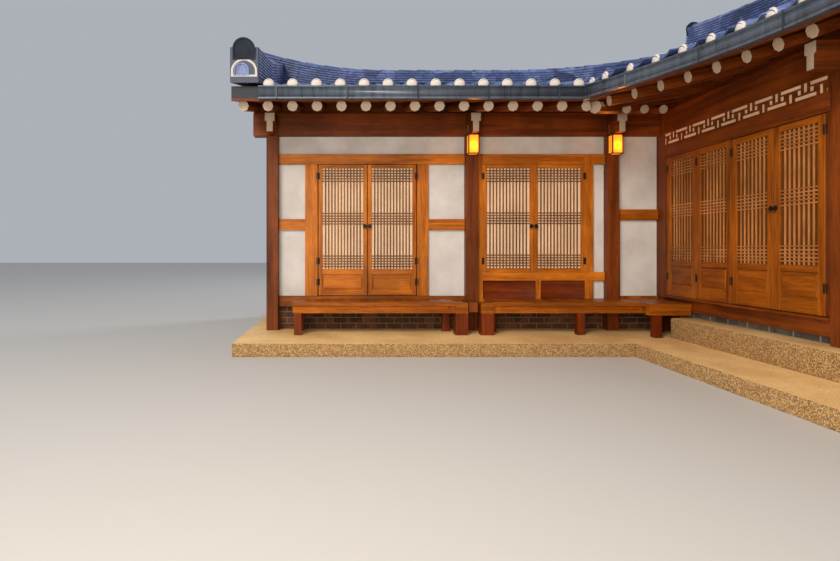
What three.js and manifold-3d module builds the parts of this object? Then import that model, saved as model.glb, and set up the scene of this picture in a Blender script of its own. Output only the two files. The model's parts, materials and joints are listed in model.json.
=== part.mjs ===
// A one-storey hanok house: two wings round a courtyard corner, on a stone platform.
// Millimetres, +Z up. The origin is at ground level under the inner corner of the two
// courtyard walls: the back wing's front wall is the plane y = 0, the right wing's is x = 0,
// and the courtyard lies at negative x and y.
import * as THREE from "three";
import { mergeVertices } from "three/addons/utils/BufferGeometryUtils.js";
import Module from "manifold-3d";

const wasm = await Module();
wasm.setup();

// Heights
const PLATFORM_TOP = 150;
const STEP_TOP = 380;
const BASE_TOP = 450;
const MARU_TOP = 550;
const SILL_TOP = 587;
const LINTEL_BOTTOM = 2290;
const LINTEL_TOP = 2420;
const TIE_BOTTOM = 2650;
const CROSSBEAM_TOP = 2880;
const PURLIN_TOP = 2945;
const RAIL = [1440, 1580];
const END_BAY_RAIL = [1566, 1706];
const RIGHT_SILL_TOP = 612;
const RIGHT_LINTEL = [2340, 2500];
const TIE = [TIE_BOTTOM, PURLIN_TOP];
const SILL = [BASE_TOP, SILL_TOP];

// Plan
const WING_DEPTH = 3000;
const MID = WING_DEPTH / 2;
const LEFT_END = -5320;
const NEAR_END = -5720;
const WALL = 100;
const POST = 150;
const POST_FRONT = -110;
const POST_BACK = 90;
const BACK_POSTS = [-4990, -2435, -623];
const RIGHT_POSTS = [-85, -2725, -5365];
const RIGHT_POST_FACE = -10;
const RIGHT_POST_BACK = 160;
const RIGHT_POST = 170;
const LEFT_BEAMS = LEFT_END + 80;
const NEAR_BEAMS = NEAR_END + 80;
const LEFT_WALL = [BACK_POSTS[0] - 50, BACK_POSTS[0] + 100];
const NEAR_WALL = [RIGHT_POSTS[2] - 60, RIGHT_POSTS[2] + RIGHT_POST / 2];
const FRAME_FACE = -40;
const FRAME_BACK = 40;

// Roof: the eave line, the wall line and the ridge line, where the slopes change
const EAVE = 1050;
const EAVE_TOP = 3040;
const WALL_LINE_TOP = 3286;
const BACK_RIDGE = 3760;
const RIGHT_RIDGE = 4090;
const TILE_BED = 170;
const BOARDS = 30;
const CLEAR = 0.5;
const RAFTER = 60;
const RAFTER_STEP = 277;
const FIRST_RAFTER = LEFT_END + 118;
const RIGHT_RAFTER_STEP = 267.5;
const FIRST_RIGHT_RAFTER = NEAR_END + 315;
const VERGE_RAFTER = NEAR_END + 90;
const RAFTER_SEAT = 52;
const RAFTER_TAIL = 300;
const RAFTER_SET_BACK = 90;
const COURT_SET_BACK = 210;
const VALLEY_RAFTER = { radius: 75, setBack: 0.14, past: 0.04, drop: 12, end: [60, 45] };
const RAFTER_DROP = TILE_BED + CLEAR + BOARDS + RAFTER_SEAT;
const UNDER_BOARDS = TILE_BED + CLEAR + BOARDS + CLEAR;
const HEAD_STRIP = { width: 60, above: 10 };

// Where the valleys from the two wall corners meet, on the back wing's ridge line
const VALLEY_HEAD = MID * 0.597;

// Beams: the crossbeams' blunt ends in front of the posts are narrower below
const BEAM = 120;
const BEAM_END = -350;
const RIGHT_BEAM_END = -245;
const BEAM_FOOT = { width: 75, height: 130 };
const RIDGE_BEAM = 180;
const BACK_RIDGE_BEAM_END = 800;

// Ridges: stacked tiles along the tops, swept up at their ends
const RIDGE_WIDTH = 220;
const RIDGE_PARTS = 12;
const GABLE_RIDGE = 310;
const GABLE_RIDGE_HEIGHT = 400;
const GABLE_RIDGE_RISE = 60;
const GABLE_RIDGE_OUT = 70;
const GABLE_RIDGE_DROP = 16;
const COURT_RIDGE_DROP = 25;
const HIP_RIDGE_HEIGHT = 260;
const BACK_RIDGE_PAST = 330;
const RIGHT_RIDGE_PAST = 140;
const BACK_CREST = { top: 4000, left: -3400, leftRun: 1850, leftRise: 250, right: -1600, rightRun: 1000,
  rightRise: 40 };
const RIGHT_CREST = { top: 4400, rise: 350 };

// Plan curve of the courtyard eave of the right wing: closest to the wall at CURVE_Y
const CURVE_Y = -3900;
const CURVE_X = -649;
const CURVE_RATE = 0.101e-3;
const STRAIGHT_PART = 400;
const CURVE_STEP = 400;
const CURVE_NEAR = CURVE_Y - 950;
const CURVE_LAST = -1500;
const GUTTER = { width: 70, height: 140, wall: 6, bottom: 2850, gap: 0.3 };

// Stone and masonry under the walls
const PLATFORM = { left: LEFT_END + 20, front: -1120, split: -850, near: NEAR_END + 120, far: 3300 };
const STEP = { front: -220, far: -690 };
const BACK_BASE = { front: [30, 150], left: [LEFT_WALL[0], LEFT_WALL[0] + 120], rear: [2850, 2990] };
const RIGHT_BASE = { front: [WALL, 250], near: [-5440, -5300], rear: [2850, 2990] };

// Porches
const MARU = { front: -530, cornerFront: -750, board: 45, timber: 90, endLeg: 150, endDrop: 8, inset: 60 };
const MARU_BEARER = { front: 65, back: -150, rightBack: -190, corner: 55 };
const LEFT_MARU = [-4690, -2720];
const RIGHT_MARU = [-2262, -10];
const CORNER_MARU = [-496, -10];
const MIDDLE_LEG = -1200;
const CORNER_LEG = CORNER_MARU[0] + 105;
const BESIDE_STEP = STEP.far + MARU.timber / 2 + CLEAR;
const FLOOR_BEAM = { x: [-2556, -2454], z: [430, 548] };

// Hidden walls: a timber grid with a plaster wall let in behind it
const GRID = [2920, 3020];
const GRID_POST = [2920, 3040];
const GRID_BEAM = [2925, 3075];
const PLASTER_DEPTH = [2880, 2980];

// Openings of the courtyard walls
const DOOR = [-4412, -3127];
const DOOR_FRAME = [-4575, -2981];
const WINDOW = [-2275, -960];
const WINDOW_JAMB = -847;
const WINDOW_SILL = [783, 894];
const APRON = { stile: -1560, width: 70, board: [-15, 15] };
const END_BAY_STILE = 45;
const TRANSOM = { board: [14, 40], strip: [0, 60], height: 20 };
const LEDGE = { lintel: -10, sill: -40, beam: 170 };
const JAMB = 50;
const CORNER_JAMB = 60;

// Doors and windows
const LEAF = 36;
const LEAF_GAP = 10;
const MEETING_GAP = 8;
const LEAF_LIFT = 6;
const PIVOT = { inset: 12, depth: 10, radius: 5, gap: 0.3 };
const STILE = 45;
const TOP_RAIL = 36;
const FIELD_LOW = 0.2;
const PANEL_TOP = 0.17;
const FIELD_DEPTH = [14, 22];
const PANEL_DEPTH = [10, 26];
const LANTERN = { width: 130, depth: 120, z: [2400, 2640] };

const WOOD = new THREE.Color(0x8a5a34);
const DARK_WOOD = new THREE.Color(0x5a3826);
const PLASTER = new THREE.Color(0xd9d0bd);
const STONE = new THREE.Color(0xb9a48c);
const BRICK = new THREE.Color(0x5c453c);
const GREY_BLOCK = new THREE.Color(0x8b8a86);
const TILE = new THREE.Color(0x4c5666);
const METAL = new THREE.Color(0x6f7c8c);
const LIGHT = new THREE.Color(0xe9a54a);

const house = new THREE.Group();

// A closed geometry as a solid that can be cut and joined.
function solid(geometry) {
  const bare = geometry.clone();
  bare.deleteAttribute("normal");
  bare.deleteAttribute("uv");
  const merged = mergeVertices(bare, 1e-3);
  const vertProperties = new Float32Array(merged.attributes.position.array);
  const triVerts = new Uint32Array(merged.index.array);
  return new wasm.Manifold(new wasm.Mesh({ numProp: 3, vertProperties, triVerts }));
}

// A box between three ranges.
function block(x, y, z) {
  const g = new THREE.BoxGeometry(x[1] - x[0], y[1] - y[0], z[1] - z[0]);
  g.translate((x[0] + x[1]) / 2, (y[0] + y[1]) / 2, (z[0] + z[1]) / 2);
  return solid(g);
}

// An outline extruded along x (points are y, z), along y (points are x, z) or up z (x, y).
function prism(axis, points, range) {
  const shape = new THREE.Shape(points.map((p) => new THREE.Vector2(p[0], p[1])));
  const depth = range[1] - range[0];
  const g = new THREE.ExtrudeGeometry(shape, { depth, bevelEnabled: false });
  const ex = new THREE.Vector3(1, 0, 0);
  const ey = new THREE.Vector3(0, 1, 0);
  const ez = new THREE.Vector3(0, 0, 1);
  const turn = new THREE.Matrix4();
  if (axis === "x") turn.makeBasis(ey, ez, ex).setPosition(range[0], 0, 0);
  if (axis === "y") turn.makeBasis(ex, ez, ey.negate()).setPosition(0, range[1], 0);
  if (axis === "z") turn.setPosition(0, 0, range[0]);
  g.applyMatrix4(turn);
  return solid(g);
}

// A round timber between two points.
function log(from, to, radius, sides = 8) {
  const a = new THREE.Vector3(...from);
  const b = new THREE.Vector3(...to);
  const g = new THREE.CylinderGeometry(radius, radius, a.distanceTo(b), sides);
  const up = new THREE.Vector3(0, 1, 0);
  g.applyQuaternion(new THREE.Quaternion().setFromUnitVectors(up, b.clone().sub(a).normalize()));
  g.translate((a.x + b.x) / 2, (a.y + b.y) / 2, (a.z + b.z) / 2);
  return solid(g);
}

// A ring of points carried through several places, closed at both ends.
// Each four-sided face is split along its shorter diagonal.
function loft(rings) {
  const count = rings[0].length;
  const corners = rings.flat().map((p) => new THREE.Vector3(p[0], p[1], p[2]));
  const flat = rings[0].map((p) => new THREE.Vector2(p[3], p[4]));
  const caps = THREE.ShapeUtils.triangulateShape(flat, []);
  if (THREE.ShapeUtils.isClockWise(flat)) caps.forEach((c) => c.reverse());
  const faces = [];
  rings.slice(1).forEach((_, i) => {
    for (let j = 0; j < count; j++) {
      const k = (j + 1) % count;
      const [a, b] = [i * count + j, i * count + k];
      const [c, d] = [b + count, a + count];
      const longer = corners[a].distanceTo(corners[c]) > corners[b].distanceTo(corners[d]);
      if (longer) faces.push([a, b, d], [b, c, d]);
      else faces.push([a, b, c], [a, c, d]);
    }
  });
  const last = (rings.length - 1) * count;
  caps.forEach(([a, b, c]) => {
    faces.push([c, b, a], [last + a, last + b, last + c]);
  });
  const position = new Float32Array(rings.flat().flatMap((p) => p.slice(0, 3)));
  const g = new THREE.BufferGeometry();
  g.setAttribute("position", new THREE.BufferAttribute(position, 3));
  g.setIndex(faces.flat());
  const made = solid(g);
  if (made.volume() > 0) return made;
  g.setIndex(faces.flatMap(([a, b, c]) => [a, c, b]));
  return solid(g);
}

// A slab under rows of points, each row running from the eave to the ridge.
function slab(rows, lower, thick) {
  const rings = rows.map((row) => {
    const run = ([x, y]) => Math.hypot(x - row[0][0], y - row[0][1]);
    const level = (p, drop) => [p[0], p[1], p[2] - drop, run(p), p[2] - drop];
    const top = row.map((p) => level(p, lower));
    const bottom = row.map((p) => level(p, lower + thick));
    return [...top, ...bottom.reverse()];
  });
  return loft(rings);
}

function join(solids) {
  return solids.reduce((a, b) => a.add(b));
}

function cut(from, solids) {
  return solids.reduce((a, b) => a.subtract(b), from);
}

function add(name, made, color, roughness = 0.8, metalness = 0) {
  const mesh = made.getMesh();
  const g = new THREE.BufferGeometry();
  g.setAttribute("position", new THREE.BufferAttribute(mesh.vertProperties, 3));
  g.setIndex(new THREE.BufferAttribute(mesh.triVerts, 1));
  g.computeVertexNormals();
  const finish = new THREE.MeshStandardMaterial({ color, roughness, metalness });
  const node = new THREE.Mesh(g, finish);
  node.name = name;
  house.add(node);
}

// Range of a given width about a centre.
function about(centre, width) {
  return [centre - width / 2, centre + width / 2];
}

// Range that repeats along a line.
function steps(from, to, step) {
  const places = [];
  for (let at = from; at <= to; at += step) places.push(at);
  return places;
}

// Roof surfaces: rows of points from an eave to a ridge, as height over the plan.
function gutterFace(y) {
  return CURVE_X - CURVE_RATE * (y - CURVE_Y) ** 2;
}

function curvedEave(y) {
  return gutterFace(Math.min(y, -EAVE)) + GUTTER.width + GUTTER.gap;
}

const VALLEY = curvedEave(-EAVE);
const FAR = WING_DEPTH + EAVE;
const BACK_X = [LEFT_END, MID + 100];
const GUTTER_LINE = -EAVE - GUTTER.width - GUTTER.gap;
const GUTTER_STATIONS = [NEAR_END + GABLE_RIDGE, CURVE_NEAR, CURVE_Y - STRAIGHT_PART,
  ...steps(CURVE_Y + STRAIGHT_PART, CURVE_LAST, CURVE_STEP), GUTTER_LINE - CLEAR];
const CURVE_STATIONS = [NEAR_END, ...GUTTER_STATIONS, -EAVE, FAR];

// A row across a slope, from its eave over the wall line to the ridge, along x or along y.
function rowAlongX(y, eave, wall, ridgeTop) {
  return [[eave, y, EAVE_TOP], [wall, y, WALL_LINE_TOP], [MID, y, ridgeTop]];
}

function rowAlongY(x, eave, wall, ridgeTop) {
  return [[x, eave, EAVE_TOP], [x, wall, WALL_LINE_TOP], [x, MID, ridgeTop]];
}

const slopes = {
  front: BACK_X.map((x) => rowAlongY(x, -EAVE, 0, BACK_RIDGE)),
  rear: BACK_X.map((x) => rowAlongY(x, FAR, WING_DEPTH, BACK_RIDGE)),
  court: CURVE_STATIONS.map((y) => rowAlongX(y, curvedEave(y), 0, RIGHT_RIDGE)),
  outer: [NEAR_END, FAR].map((y) => rowAlongX(y, FAR, WING_DEPTH, RIGHT_RIDGE)),
  hip: [VALLEY, FAR].map((x) => rowAlongY(x, FAR, WING_DEPTH, RIGHT_RIDGE)),
};

// The two wings meet along the valley, seen from above; each keeps its own side of it.
const BEYOND = 200;
const SKY = [0, 5000];
const valleyLine = [[VALLEY, -EAVE], [0, 0], [VALLEY_HEAD, MID], [0, WING_DEPTH], [0, FAR + BEYOND]];
const backSide = prism("z", [...valleyLine, [LEFT_END - BEYOND, FAR + BEYOND],
  [LEFT_END - BEYOND, -EAVE - BEYOND], [VALLEY, -EAVE - BEYOND]], SKY);
const rightSide = prism("z", [...valleyLine.map(([x, y]) => [x + CLEAR, y]).reverse(),
  [VALLEY - BEYOND, -EAVE], [VALLEY - BEYOND, NEAR_END - BEYOND], [FAR + BEYOND, NEAR_END - BEYOND],
  [FAR + BEYOND, FAR + BEYOND]], SKY);

// One layer of the roof over both wings, hanging a given height under the tile surface.
function roofLayer(lower, thick) {
  const deep = 3000;
  const hipFill = slopes.hip.map((row) => [...row, [row[0][0], NEAR_END - BEYOND, RIGHT_RIDGE + BEYOND]]);
  const back = join([slab(slopes.front, lower, thick), slab(slopes.rear, lower, thick)]);
  const right = join([slab(slopes.court, lower, thick), slab(slopes.outer, lower, thick),
    slab(slopes.hip, lower, thick)]);
  const under = join([slab(slopes.court, lower, deep), slab(slopes.outer, lower, deep)]);
  return {
    back: back.intersect(backSide),
    right: right.intersect(under).intersect(slab(hipFill, lower, deep)).intersect(rightSide),
  };
}

const tiles = roofLayer(0, TILE_BED);
const boards = roofLayer(TILE_BED + CLEAR, BOARDS);

// Height of a rafter's middle, a distance inside an eave line whose overhang is given.
function rafterHeight(inside, overhang) {
  return EAVE_TOP + ((WALL_LINE_TOP - EAVE_TOP) * inside) / overhang - RAFTER_DROP;
}

// A rafter across a wall line at 0, out to its set back and in to its tail.
function rafter(place, overhang, setBack, tail, radius, sides) {
  const out = overhang - setBack;
  const inner = tail + radius - RAFTER;
  const ends = [[-out, rafterHeight(setBack, overhang)], [inner, rafterHeight(overhang + inner, overhang)]];
  return log(place(...ends[0]), place(...ends[1]), radius, sides);
}

function backRafters(radius) {
  const all = [];
  for (const x of steps(FIRST_RAFTER, -POST, RAFTER_STEP)) {
    all.push(rafter((d, z) => [x, d, z], EAVE, RAFTER_SET_BACK, RAFTER_TAIL, radius, 8));
    all.push(rafter((d, z) => [x, WING_DEPTH - d, z], EAVE, RAFTER_SET_BACK, RAFTER_TAIL, radius, 6));
  }
  return join(all).intersect(backSide);
}

function rightRafters(radius) {
  const all = [];
  for (const y of [VERGE_RAFTER, ...steps(FIRST_RIGHT_RAFTER, -POST, RIGHT_RAFTER_STEP)]) {
    all.push(rafter((d, z) => [d, y, z], -curvedEave(y), COURT_SET_BACK, RAFTER_TAIL, radius, 8));
  }
  for (const y of [VERGE_RAFTER, ...steps(FIRST_RIGHT_RAFTER, FAR - BEYOND, RIGHT_RAFTER_STEP)]) {
    const tail = Math.min(RAFTER_TAIL, WING_DEPTH - y - RAFTER);
    all.push(rafter((d, z) => [WING_DEPTH - d, y, z], EAVE, RAFTER_SET_BACK, tail, radius, 6));
    if (y > RAFTER) {
      const x = y;
      all.push(rafter((d, z) => [x, WING_DEPTH - d, z], EAVE, RAFTER_SET_BACK, tail, radius, 6));
    }
  }
  return join(all).intersect(rightSide);
}

// The stout rafter that lies under the valley, from the inner eave corner to the corner post.
function valleyRafter(radius) {
  const { setBack, past, drop, end } = VALLEY_RAFTER;
  const start = [VALLEY * (1 - setBack), -EAVE * (1 - setBack), rafterHeight(setBack, 1) - drop];
  return log(start, [...end, rafterHeight(1 + past, 1) - drop], radius);
}

// Strips that close the wall heads between the rafters.
function headStrips() {
  const { width, above } = HEAD_STRIP;
  const z = [PURLIN_TOP + CLEAR, WALL_LINE_TOP - UNDER_BOARDS + above];
  const rear = about(WING_DEPTH, width);
  const back = [block([LEFT_BEAMS, -POST], about(0, width), z), block([LEFT_BEAMS, 0], rear, z)];
  const right = [
    block(about(POST / 2, width), [NEAR_BEAMS, width], z),
    block(rear, [NEAR_BEAMS, WING_DEPTH], z),
    block([width / 2, WING_DEPTH], rear, z),
  ];
  return { back: join(back), right: join(right) };
}
const strips = headStrips();

add("back_roof", tiles.back, TILE, 0.7);
add("right_roof", tiles.right, TILE, 0.7);

const backRoofFrame = cut(join([boards.back, backRafters(RAFTER), strips.back]),
  [valleyRafter(VALLEY_RAFTER.radius + CLEAR)]);
const rightRoofFrame = join([boards.right, rightRafters(RAFTER), strips.right,
  valleyRafter(VALLEY_RAFTER.radius)]);
add("back_rafters", backRoofFrame, WOOD);

// The tops of the two main ridges are level in the middle and rise towards their ends.
function backRidgeTop(x) {
  const { top, left, leftRun, leftRise, right, rightRun, rightRise } = BACK_CREST;
  if (x < left) return top + leftRise * ((left - x) / leftRun) ** 2;
  return top + rightRise * Math.max(0, (x - right) / rightRun) ** 2;
}

function rightRidgeTop(y) {
  const half = (MID - NEAR_END) / 2;
  return RIGHT_CREST.top + RIGHT_CREST.rise * ((y - MID + half) / half) ** 2;
}

// A ridge along one line: flat under, with a curved top.
function ridge(axis, range, under, top) {
  const step = (range[1] - range[0]) / RIDGE_PARTS;
  const places = Array.from({ length: RIDGE_PARTS + 1 }, (_, i) => range[0] + step * i);
  const line = places.map((at) => [at, top(at)]).reverse();
  const outline = [[range[0], under], [range[1], under], ...line];
  return prism(axis, outline, about(MID, RIDGE_WIDTH));
}

// A ridge that follows the tile surface down both sides of a gable.
function gableRidge(axis, surface, range) {
  const under = surface.map(([d, z]) => [d, z + CLEAR]);
  const over = surface.map(([d, z]) => [d, z + GABLE_RIDGE_HEIGHT]).reverse();
  over[0][1] += GABLE_RIDGE_RISE;
  over[over.length - 1][1] += GABLE_RIDGE_RISE;
  return prism(axis, [...under, ...over], range);
}

const farEave = [FAR + GABLE_RIDGE_OUT, EAVE_TOP - GABLE_RIDGE_DROP];
const backSurface = [[-EAVE - GABLE_RIDGE_OUT, EAVE_TOP - GABLE_RIDGE_DROP], [0, WALL_LINE_TOP],
  [MID, BACK_RIDGE], [WING_DEPTH, WALL_LINE_TOP], farEave];
const nearEave = [curvedEave(NEAR_END) - GABLE_RIDGE_OUT, EAVE_TOP - COURT_RIDGE_DROP];
const nearSurface = [nearEave, [0, WALL_LINE_TOP], [MID, RIGHT_RIDGE], [WING_DEPTH, WALL_LINE_TOP], farEave];
const leftGableRidge = gableRidge("x", backSurface, [LEFT_END, LEFT_END + GABLE_RIDGE]);
const nearGableRidge = gableRidge("y", nearSurface, [NEAR_END, NEAR_END + GABLE_RIDGE]);
const roofMass = roofLayer(-CLEAR, MID);
add("left_gable_ridge", cut(leftGableRidge, [roofMass.back]), TILE, 0.7);
add("near_gable_ridge", cut(nearGableRidge, [roofMass.right]), TILE, 0.7);

// The back wing's ridge runs into the right wing's slope.
const backRidgeRange = [LEFT_END + GABLE_RIDGE, VALLEY_HEAD + BACK_RIDGE_PAST];
const backRidge = ridge("y", backRidgeRange, BACK_RIDGE + CLEAR, backRidgeTop);
add("back_ridge", cut(backRidge, [roofMass.right]), TILE, 0.7);

// The two hip ridges run from the far end of the right wing's ridge to its rear corners.
function hipRidge(corner, end) {
  const sideways = new THREE.Vector2(corner[1] - end[1], end[0] - corner[0]).setLength(RIDGE_WIDTH / 2);
  const ring = ([x, y, z]) => {
    const corners = [[-1, CLEAR], [1, CLEAR], [1, HIP_RIDGE_HEIGHT], [-1, HIP_RIDGE_HEIGHT]];
    return corners.map(([s, up]) => [x + s * sideways.x, y + s * sideways.y, z + up, s, up]);
  };
  return loft([corner, end].map(ring));
}
const hipTop = [MID, MID, RIGHT_RIDGE];
const farCorner = [WING_DEPTH, WING_DEPTH, WALL_LINE_TOP];
const hips = [hipRidge(hipTop, farCorner), hipRidge(farCorner, [FAR, FAR, EAVE_TOP]),
  hipRidge(hipTop, [0, WING_DEPTH, WALL_LINE_TOP])];
const rightRidgeRange = [NEAR_END + GABLE_RIDGE, MID + RIGHT_RIDGE_PAST];
const mainRidge = ridge("x", rightRidgeRange, RIGHT_RIDGE + CLEAR, rightRidgeTop);
const rightRidge = cut(join([mainRidge, ...hips]), [roofMass.right, roofMass.back]);
add("right_ridge", rightRidge, TILE, 0.7);

// Gutters: open channels along the two courtyard eaves.
function channel(stations) {
  const { width, height, wall, bottom } = GUTTER;
  const outline = [[0, 0], [width, 0], [width, height], [width - wall, height],
    [width - wall, wall], [wall, wall], [wall, height], [0, height]];
  return loft(stations.map(([x, y, sx, sy]) =>
    outline.map(([a, up]) => [x + sx * a, y + sy * a, bottom + up, a, up])));
}
const backGutterPlaces = [LEFT_END + GABLE_RIDGE, VALLEY];
add("back_gutter", channel(backGutterPlaces.map((x) => [x, GUTTER_LINE, 0, 1])), METAL, 0.45, 0.5);
add("right_gutter", channel(GUTTER_STATIONS.map((y) => [gutterFace(y), y, 1, 0])), METAL, 0.45, 0.5);

// Roof frames: crossbeams over each row of posts, king posts and a ridge beam on them.

// A ridge beam's upper edges lie under the boards of both slopes.
function underRidge(ridgeTop) {
  return ridgeTop - UNDER_BOARDS - (((ridgeTop - WALL_LINE_TOP) / MID) * POST) / 2;
}
const backRidgeBeamTop = underRidge(BACK_RIDGE);
const rightRidgeBeamTop = underRidge(RIGHT_RIDGE);

function kingPost(x, y, ridgeBeamTop) {
  return block(x, y, [CROSSBEAM_TOP, ridgeBeamTop - RIDGE_BEAM]);
}

const CROSSBEAM_Z = [TIE_BOTTOM, CROSSBEAM_TOP];
const BEAM_HEAD_Z = [TIE_BOTTOM + BEAM_FOOT.height, CROSSBEAM_TOP];
const BEAM_FOOT_Z = [TIE_BOTTOM, TIE_BOTTOM + BEAM_FOOT.height];

function backTruss() {
  const top = backRidgeBeamTop;
  const parts = [block([LEFT_BEAMS, BACK_RIDGE_BEAM_END], about(MID, POST), [top - RIDGE_BEAM, top])];
  for (const x of BACK_POSTS) {
    parts.push(block(about(x, BEAM), [POST_FRONT, WING_DEPTH - BEAM_END], CROSSBEAM_Z));
    parts.push(block(about(x, BEAM), [BEAM_END, POST_FRONT], BEAM_HEAD_Z));
    parts.push(block(about(x, BEAM_FOOT.width), [BEAM_END, POST_FRONT], BEAM_FOOT_Z));
    parts.push(kingPost(about(x, BEAM), about(MID, BEAM), top));
  }
  return join(parts);
}

function rightTruss() {
  const top = rightRidgeBeamTop;
  const parts = [block(about(MID, POST), [NEAR_BEAMS, MID], [top - RIDGE_BEAM, top])];
  RIGHT_POSTS.forEach((y, i) => {
    const start = i === 0 ? 0 : RIGHT_POST_FACE;
    parts.push(block([start, WING_DEPTH - BEAM_END], about(y, BEAM), CROSSBEAM_Z));
    if (i > 0) {
      parts.push(block([RIGHT_BEAM_END, start], about(y, BEAM), BEAM_HEAD_Z));
      parts.push(block([RIGHT_BEAM_END, start], about(y, BEAM_FOOT.width), BEAM_FOOT_Z));
    }
    parts.push(kingPost(about(MID, BEAM), about(y, BEAM), top));
  });
  return join(parts);
}

const trusses = [backTruss(), rightTruss()];
add("back_truss", trusses[0], DARK_WOOD);
add("right_truss", trusses[1], DARK_WOOD);

// The beams over the two courtyard walls, notched over the crossbeams.
const backBeam = block([LEFT_BEAMS, 0], about(0, POST), TIE);
const rightBeam = block([0, POST], [NEAR_BEAMS, WALL], TIE);
add("back_front_beam", cut(backBeam, trusses), DARK_WOOD);
add("right_front_beam", cut(rightBeam, trusses), DARK_WOOD);

// The rafters are notched where they cross a beam end.
add("right_rafters", cut(rightRoofFrame, [...trusses, backBeam, rightBeam]), WOOD);

// Posts of the courtyard walls, with a jamb strip beside the right wing's doors.
const POST_Z = [PLATFORM_TOP, TIE_BOTTOM];
const posts = BACK_POSTS.map((x) => block(about(x, POST), [POST_FRONT, POST_BACK], POST_Z));

// A floor beam runs out of the second post between the two porches.
posts[1] = join([posts[1], block(FLOOR_BEAM.x, [MARU.front, POST_FRONT + 1], FLOOR_BEAM.z)]);
posts.forEach((post, i) => add("front_post_" + (i + 1), post, DARK_WOOD));
const JAMB_Z = [RIGHT_SILL_TOP, RIGHT_LINTEL[0]];
const firstBay = [RIGHT_POSTS[1] + RIGHT_POST / 2, -RIGHT_POST];
const secondBay = [RIGHT_POSTS[2] + RIGHT_POST / 2, RIGHT_POSTS[1] - RIGHT_POST / 2];
const rightPostX = [RIGHT_POST_FACE, RIGHT_POST_BACK];
const cornerPost = join([
  block(rightPostX, [-RIGHT_POST, WALL], POST_Z),
  block([0, WALL], [firstBay[1] - CORNER_JAMB, firstBay[1]], JAMB_Z),
]);
const nearPost = join([
  block(rightPostX, about(RIGHT_POSTS[1], RIGHT_POST), POST_Z),
  block([0, WALL], [firstBay[0], firstBay[0] + JAMB], JAMB_Z),
]);
const endPost = block(rightPostX, about(RIGHT_POSTS[2], RIGHT_POST), POST_Z);
add("corner_post", cornerPost, DARK_WOOD);
add("near_post", nearPost, DARK_WOOD);
add("end_post", endPost, DARK_WOOD);

// The rear and outer walls: a timber grid, and a plaster wall let in behind it.
function rearGrid() {
  const x = [BACK_POSTS[0], GRID_BEAM[0]];
  const beam = block([LEFT_BEAMS, GRID_BEAM[1]], GRID_BEAM, TIE);
  const parts = [beam, block(x, GRID, SILL), block(x, GRID, RAIL)];
  for (const at of [...BACK_POSTS, POST / 2]) parts.push(block(about(at, POST), GRID_POST, POST_Z));
  parts.push(block(GRID_POST, GRID_POST, POST_Z));
  return cut(join(parts), trusses);
}

function outerGrid() {
  const y = [RIGHT_POSTS[2], GRID_POST[0]];
  const beam = block(GRID_BEAM, [NEAR_BEAMS, GRID_POST[0]], TIE);
  const parts = [beam, block(GRID, y, SILL), block(GRID, y, RAIL)];
  for (const at of RIGHT_POSTS) parts.push(block(GRID_POST, about(at, RIGHT_POST), POST_Z));
  return cut(join(parts), trusses);
}

const rearFrame = rearGrid();
const outerFrame = cut(outerGrid(), [rearFrame]);
add("rear_frame", rearFrame, DARK_WOOD);
add("outer_frame", outerFrame, DARK_WOOD);

const HIDDEN_WALL_Z = [BASE_TOP, TIE_BOTTOM];
const rearWall = block([LEFT_WALL[0], PLASTER_DEPTH[1]], PLASTER_DEPTH, HIDDEN_WALL_Z);
const outerWall = block(PLASTER_DEPTH, [NEAR_WALL[0], PLASTER_DEPTH[0]], HIDDEN_WALL_Z);
add("rear_wall", cut(rearWall, [rearFrame, outerFrame]), PLASTER, 0.95);
add("outer_wall", cut(outerWall, [rearFrame, outerFrame]), PLASTER, 0.95);

// The two gable walls rise to the roof boards, over the crossbeam and round the rafter tails.
function gableWall(axis, ridgeTop, sides, thick, cutters) {
  const slope = (ridgeTop - WALL_LINE_TOP) / MID;
  const at = (d) => WALL_LINE_TOP - UNDER_BOARDS - 1 + slope * Math.min(d, WING_DEPTH - d);
  const [from, to] = sides;
  const [low, high] = about(MID, POST);
  const notch = underRidge(ridgeTop) - RIDGE_BEAM;
  const outline = [[from, BASE_TOP], [to, BASE_TOP], [to, at(to)], [high, at(high)], [high, notch],
    [low, notch], [low, at(low)], [from, at(from)]];
  return cut(prism(axis, outline, thick), cutters);
}
const leftGable = gableWall("x", BACK_RIDGE, [WALL, PLASTER_DEPTH[0]], LEFT_WALL,
  [...trusses, backRafters(RAFTER + CLEAR)]);
const nearGable = gableWall("y", RIGHT_RIDGE, [RIGHT_POST_BACK, GRID_POST[0]], NEAR_WALL,
  [...trusses, rightRafters(RAFTER + CLEAR), outerWall]);
add("left_gable_wall", leftGable, PLASTER, 0.95);
add("near_gable_wall", nearGable, PLASTER, 0.95);

// Stone platform, the step before the right wing, and the masonry under the walls.
const PLATFORM_Z = [0, PLATFORM_TOP];
const { left, front, split, near, far } = PLATFORM;
add("back_platform", block([left, split], [front, far], PLATFORM_Z), STONE, 0.95);
add("right_platform", block([split + CLEAR, far], [near, far], PLATFORM_Z), STONE, 0.95);

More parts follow.
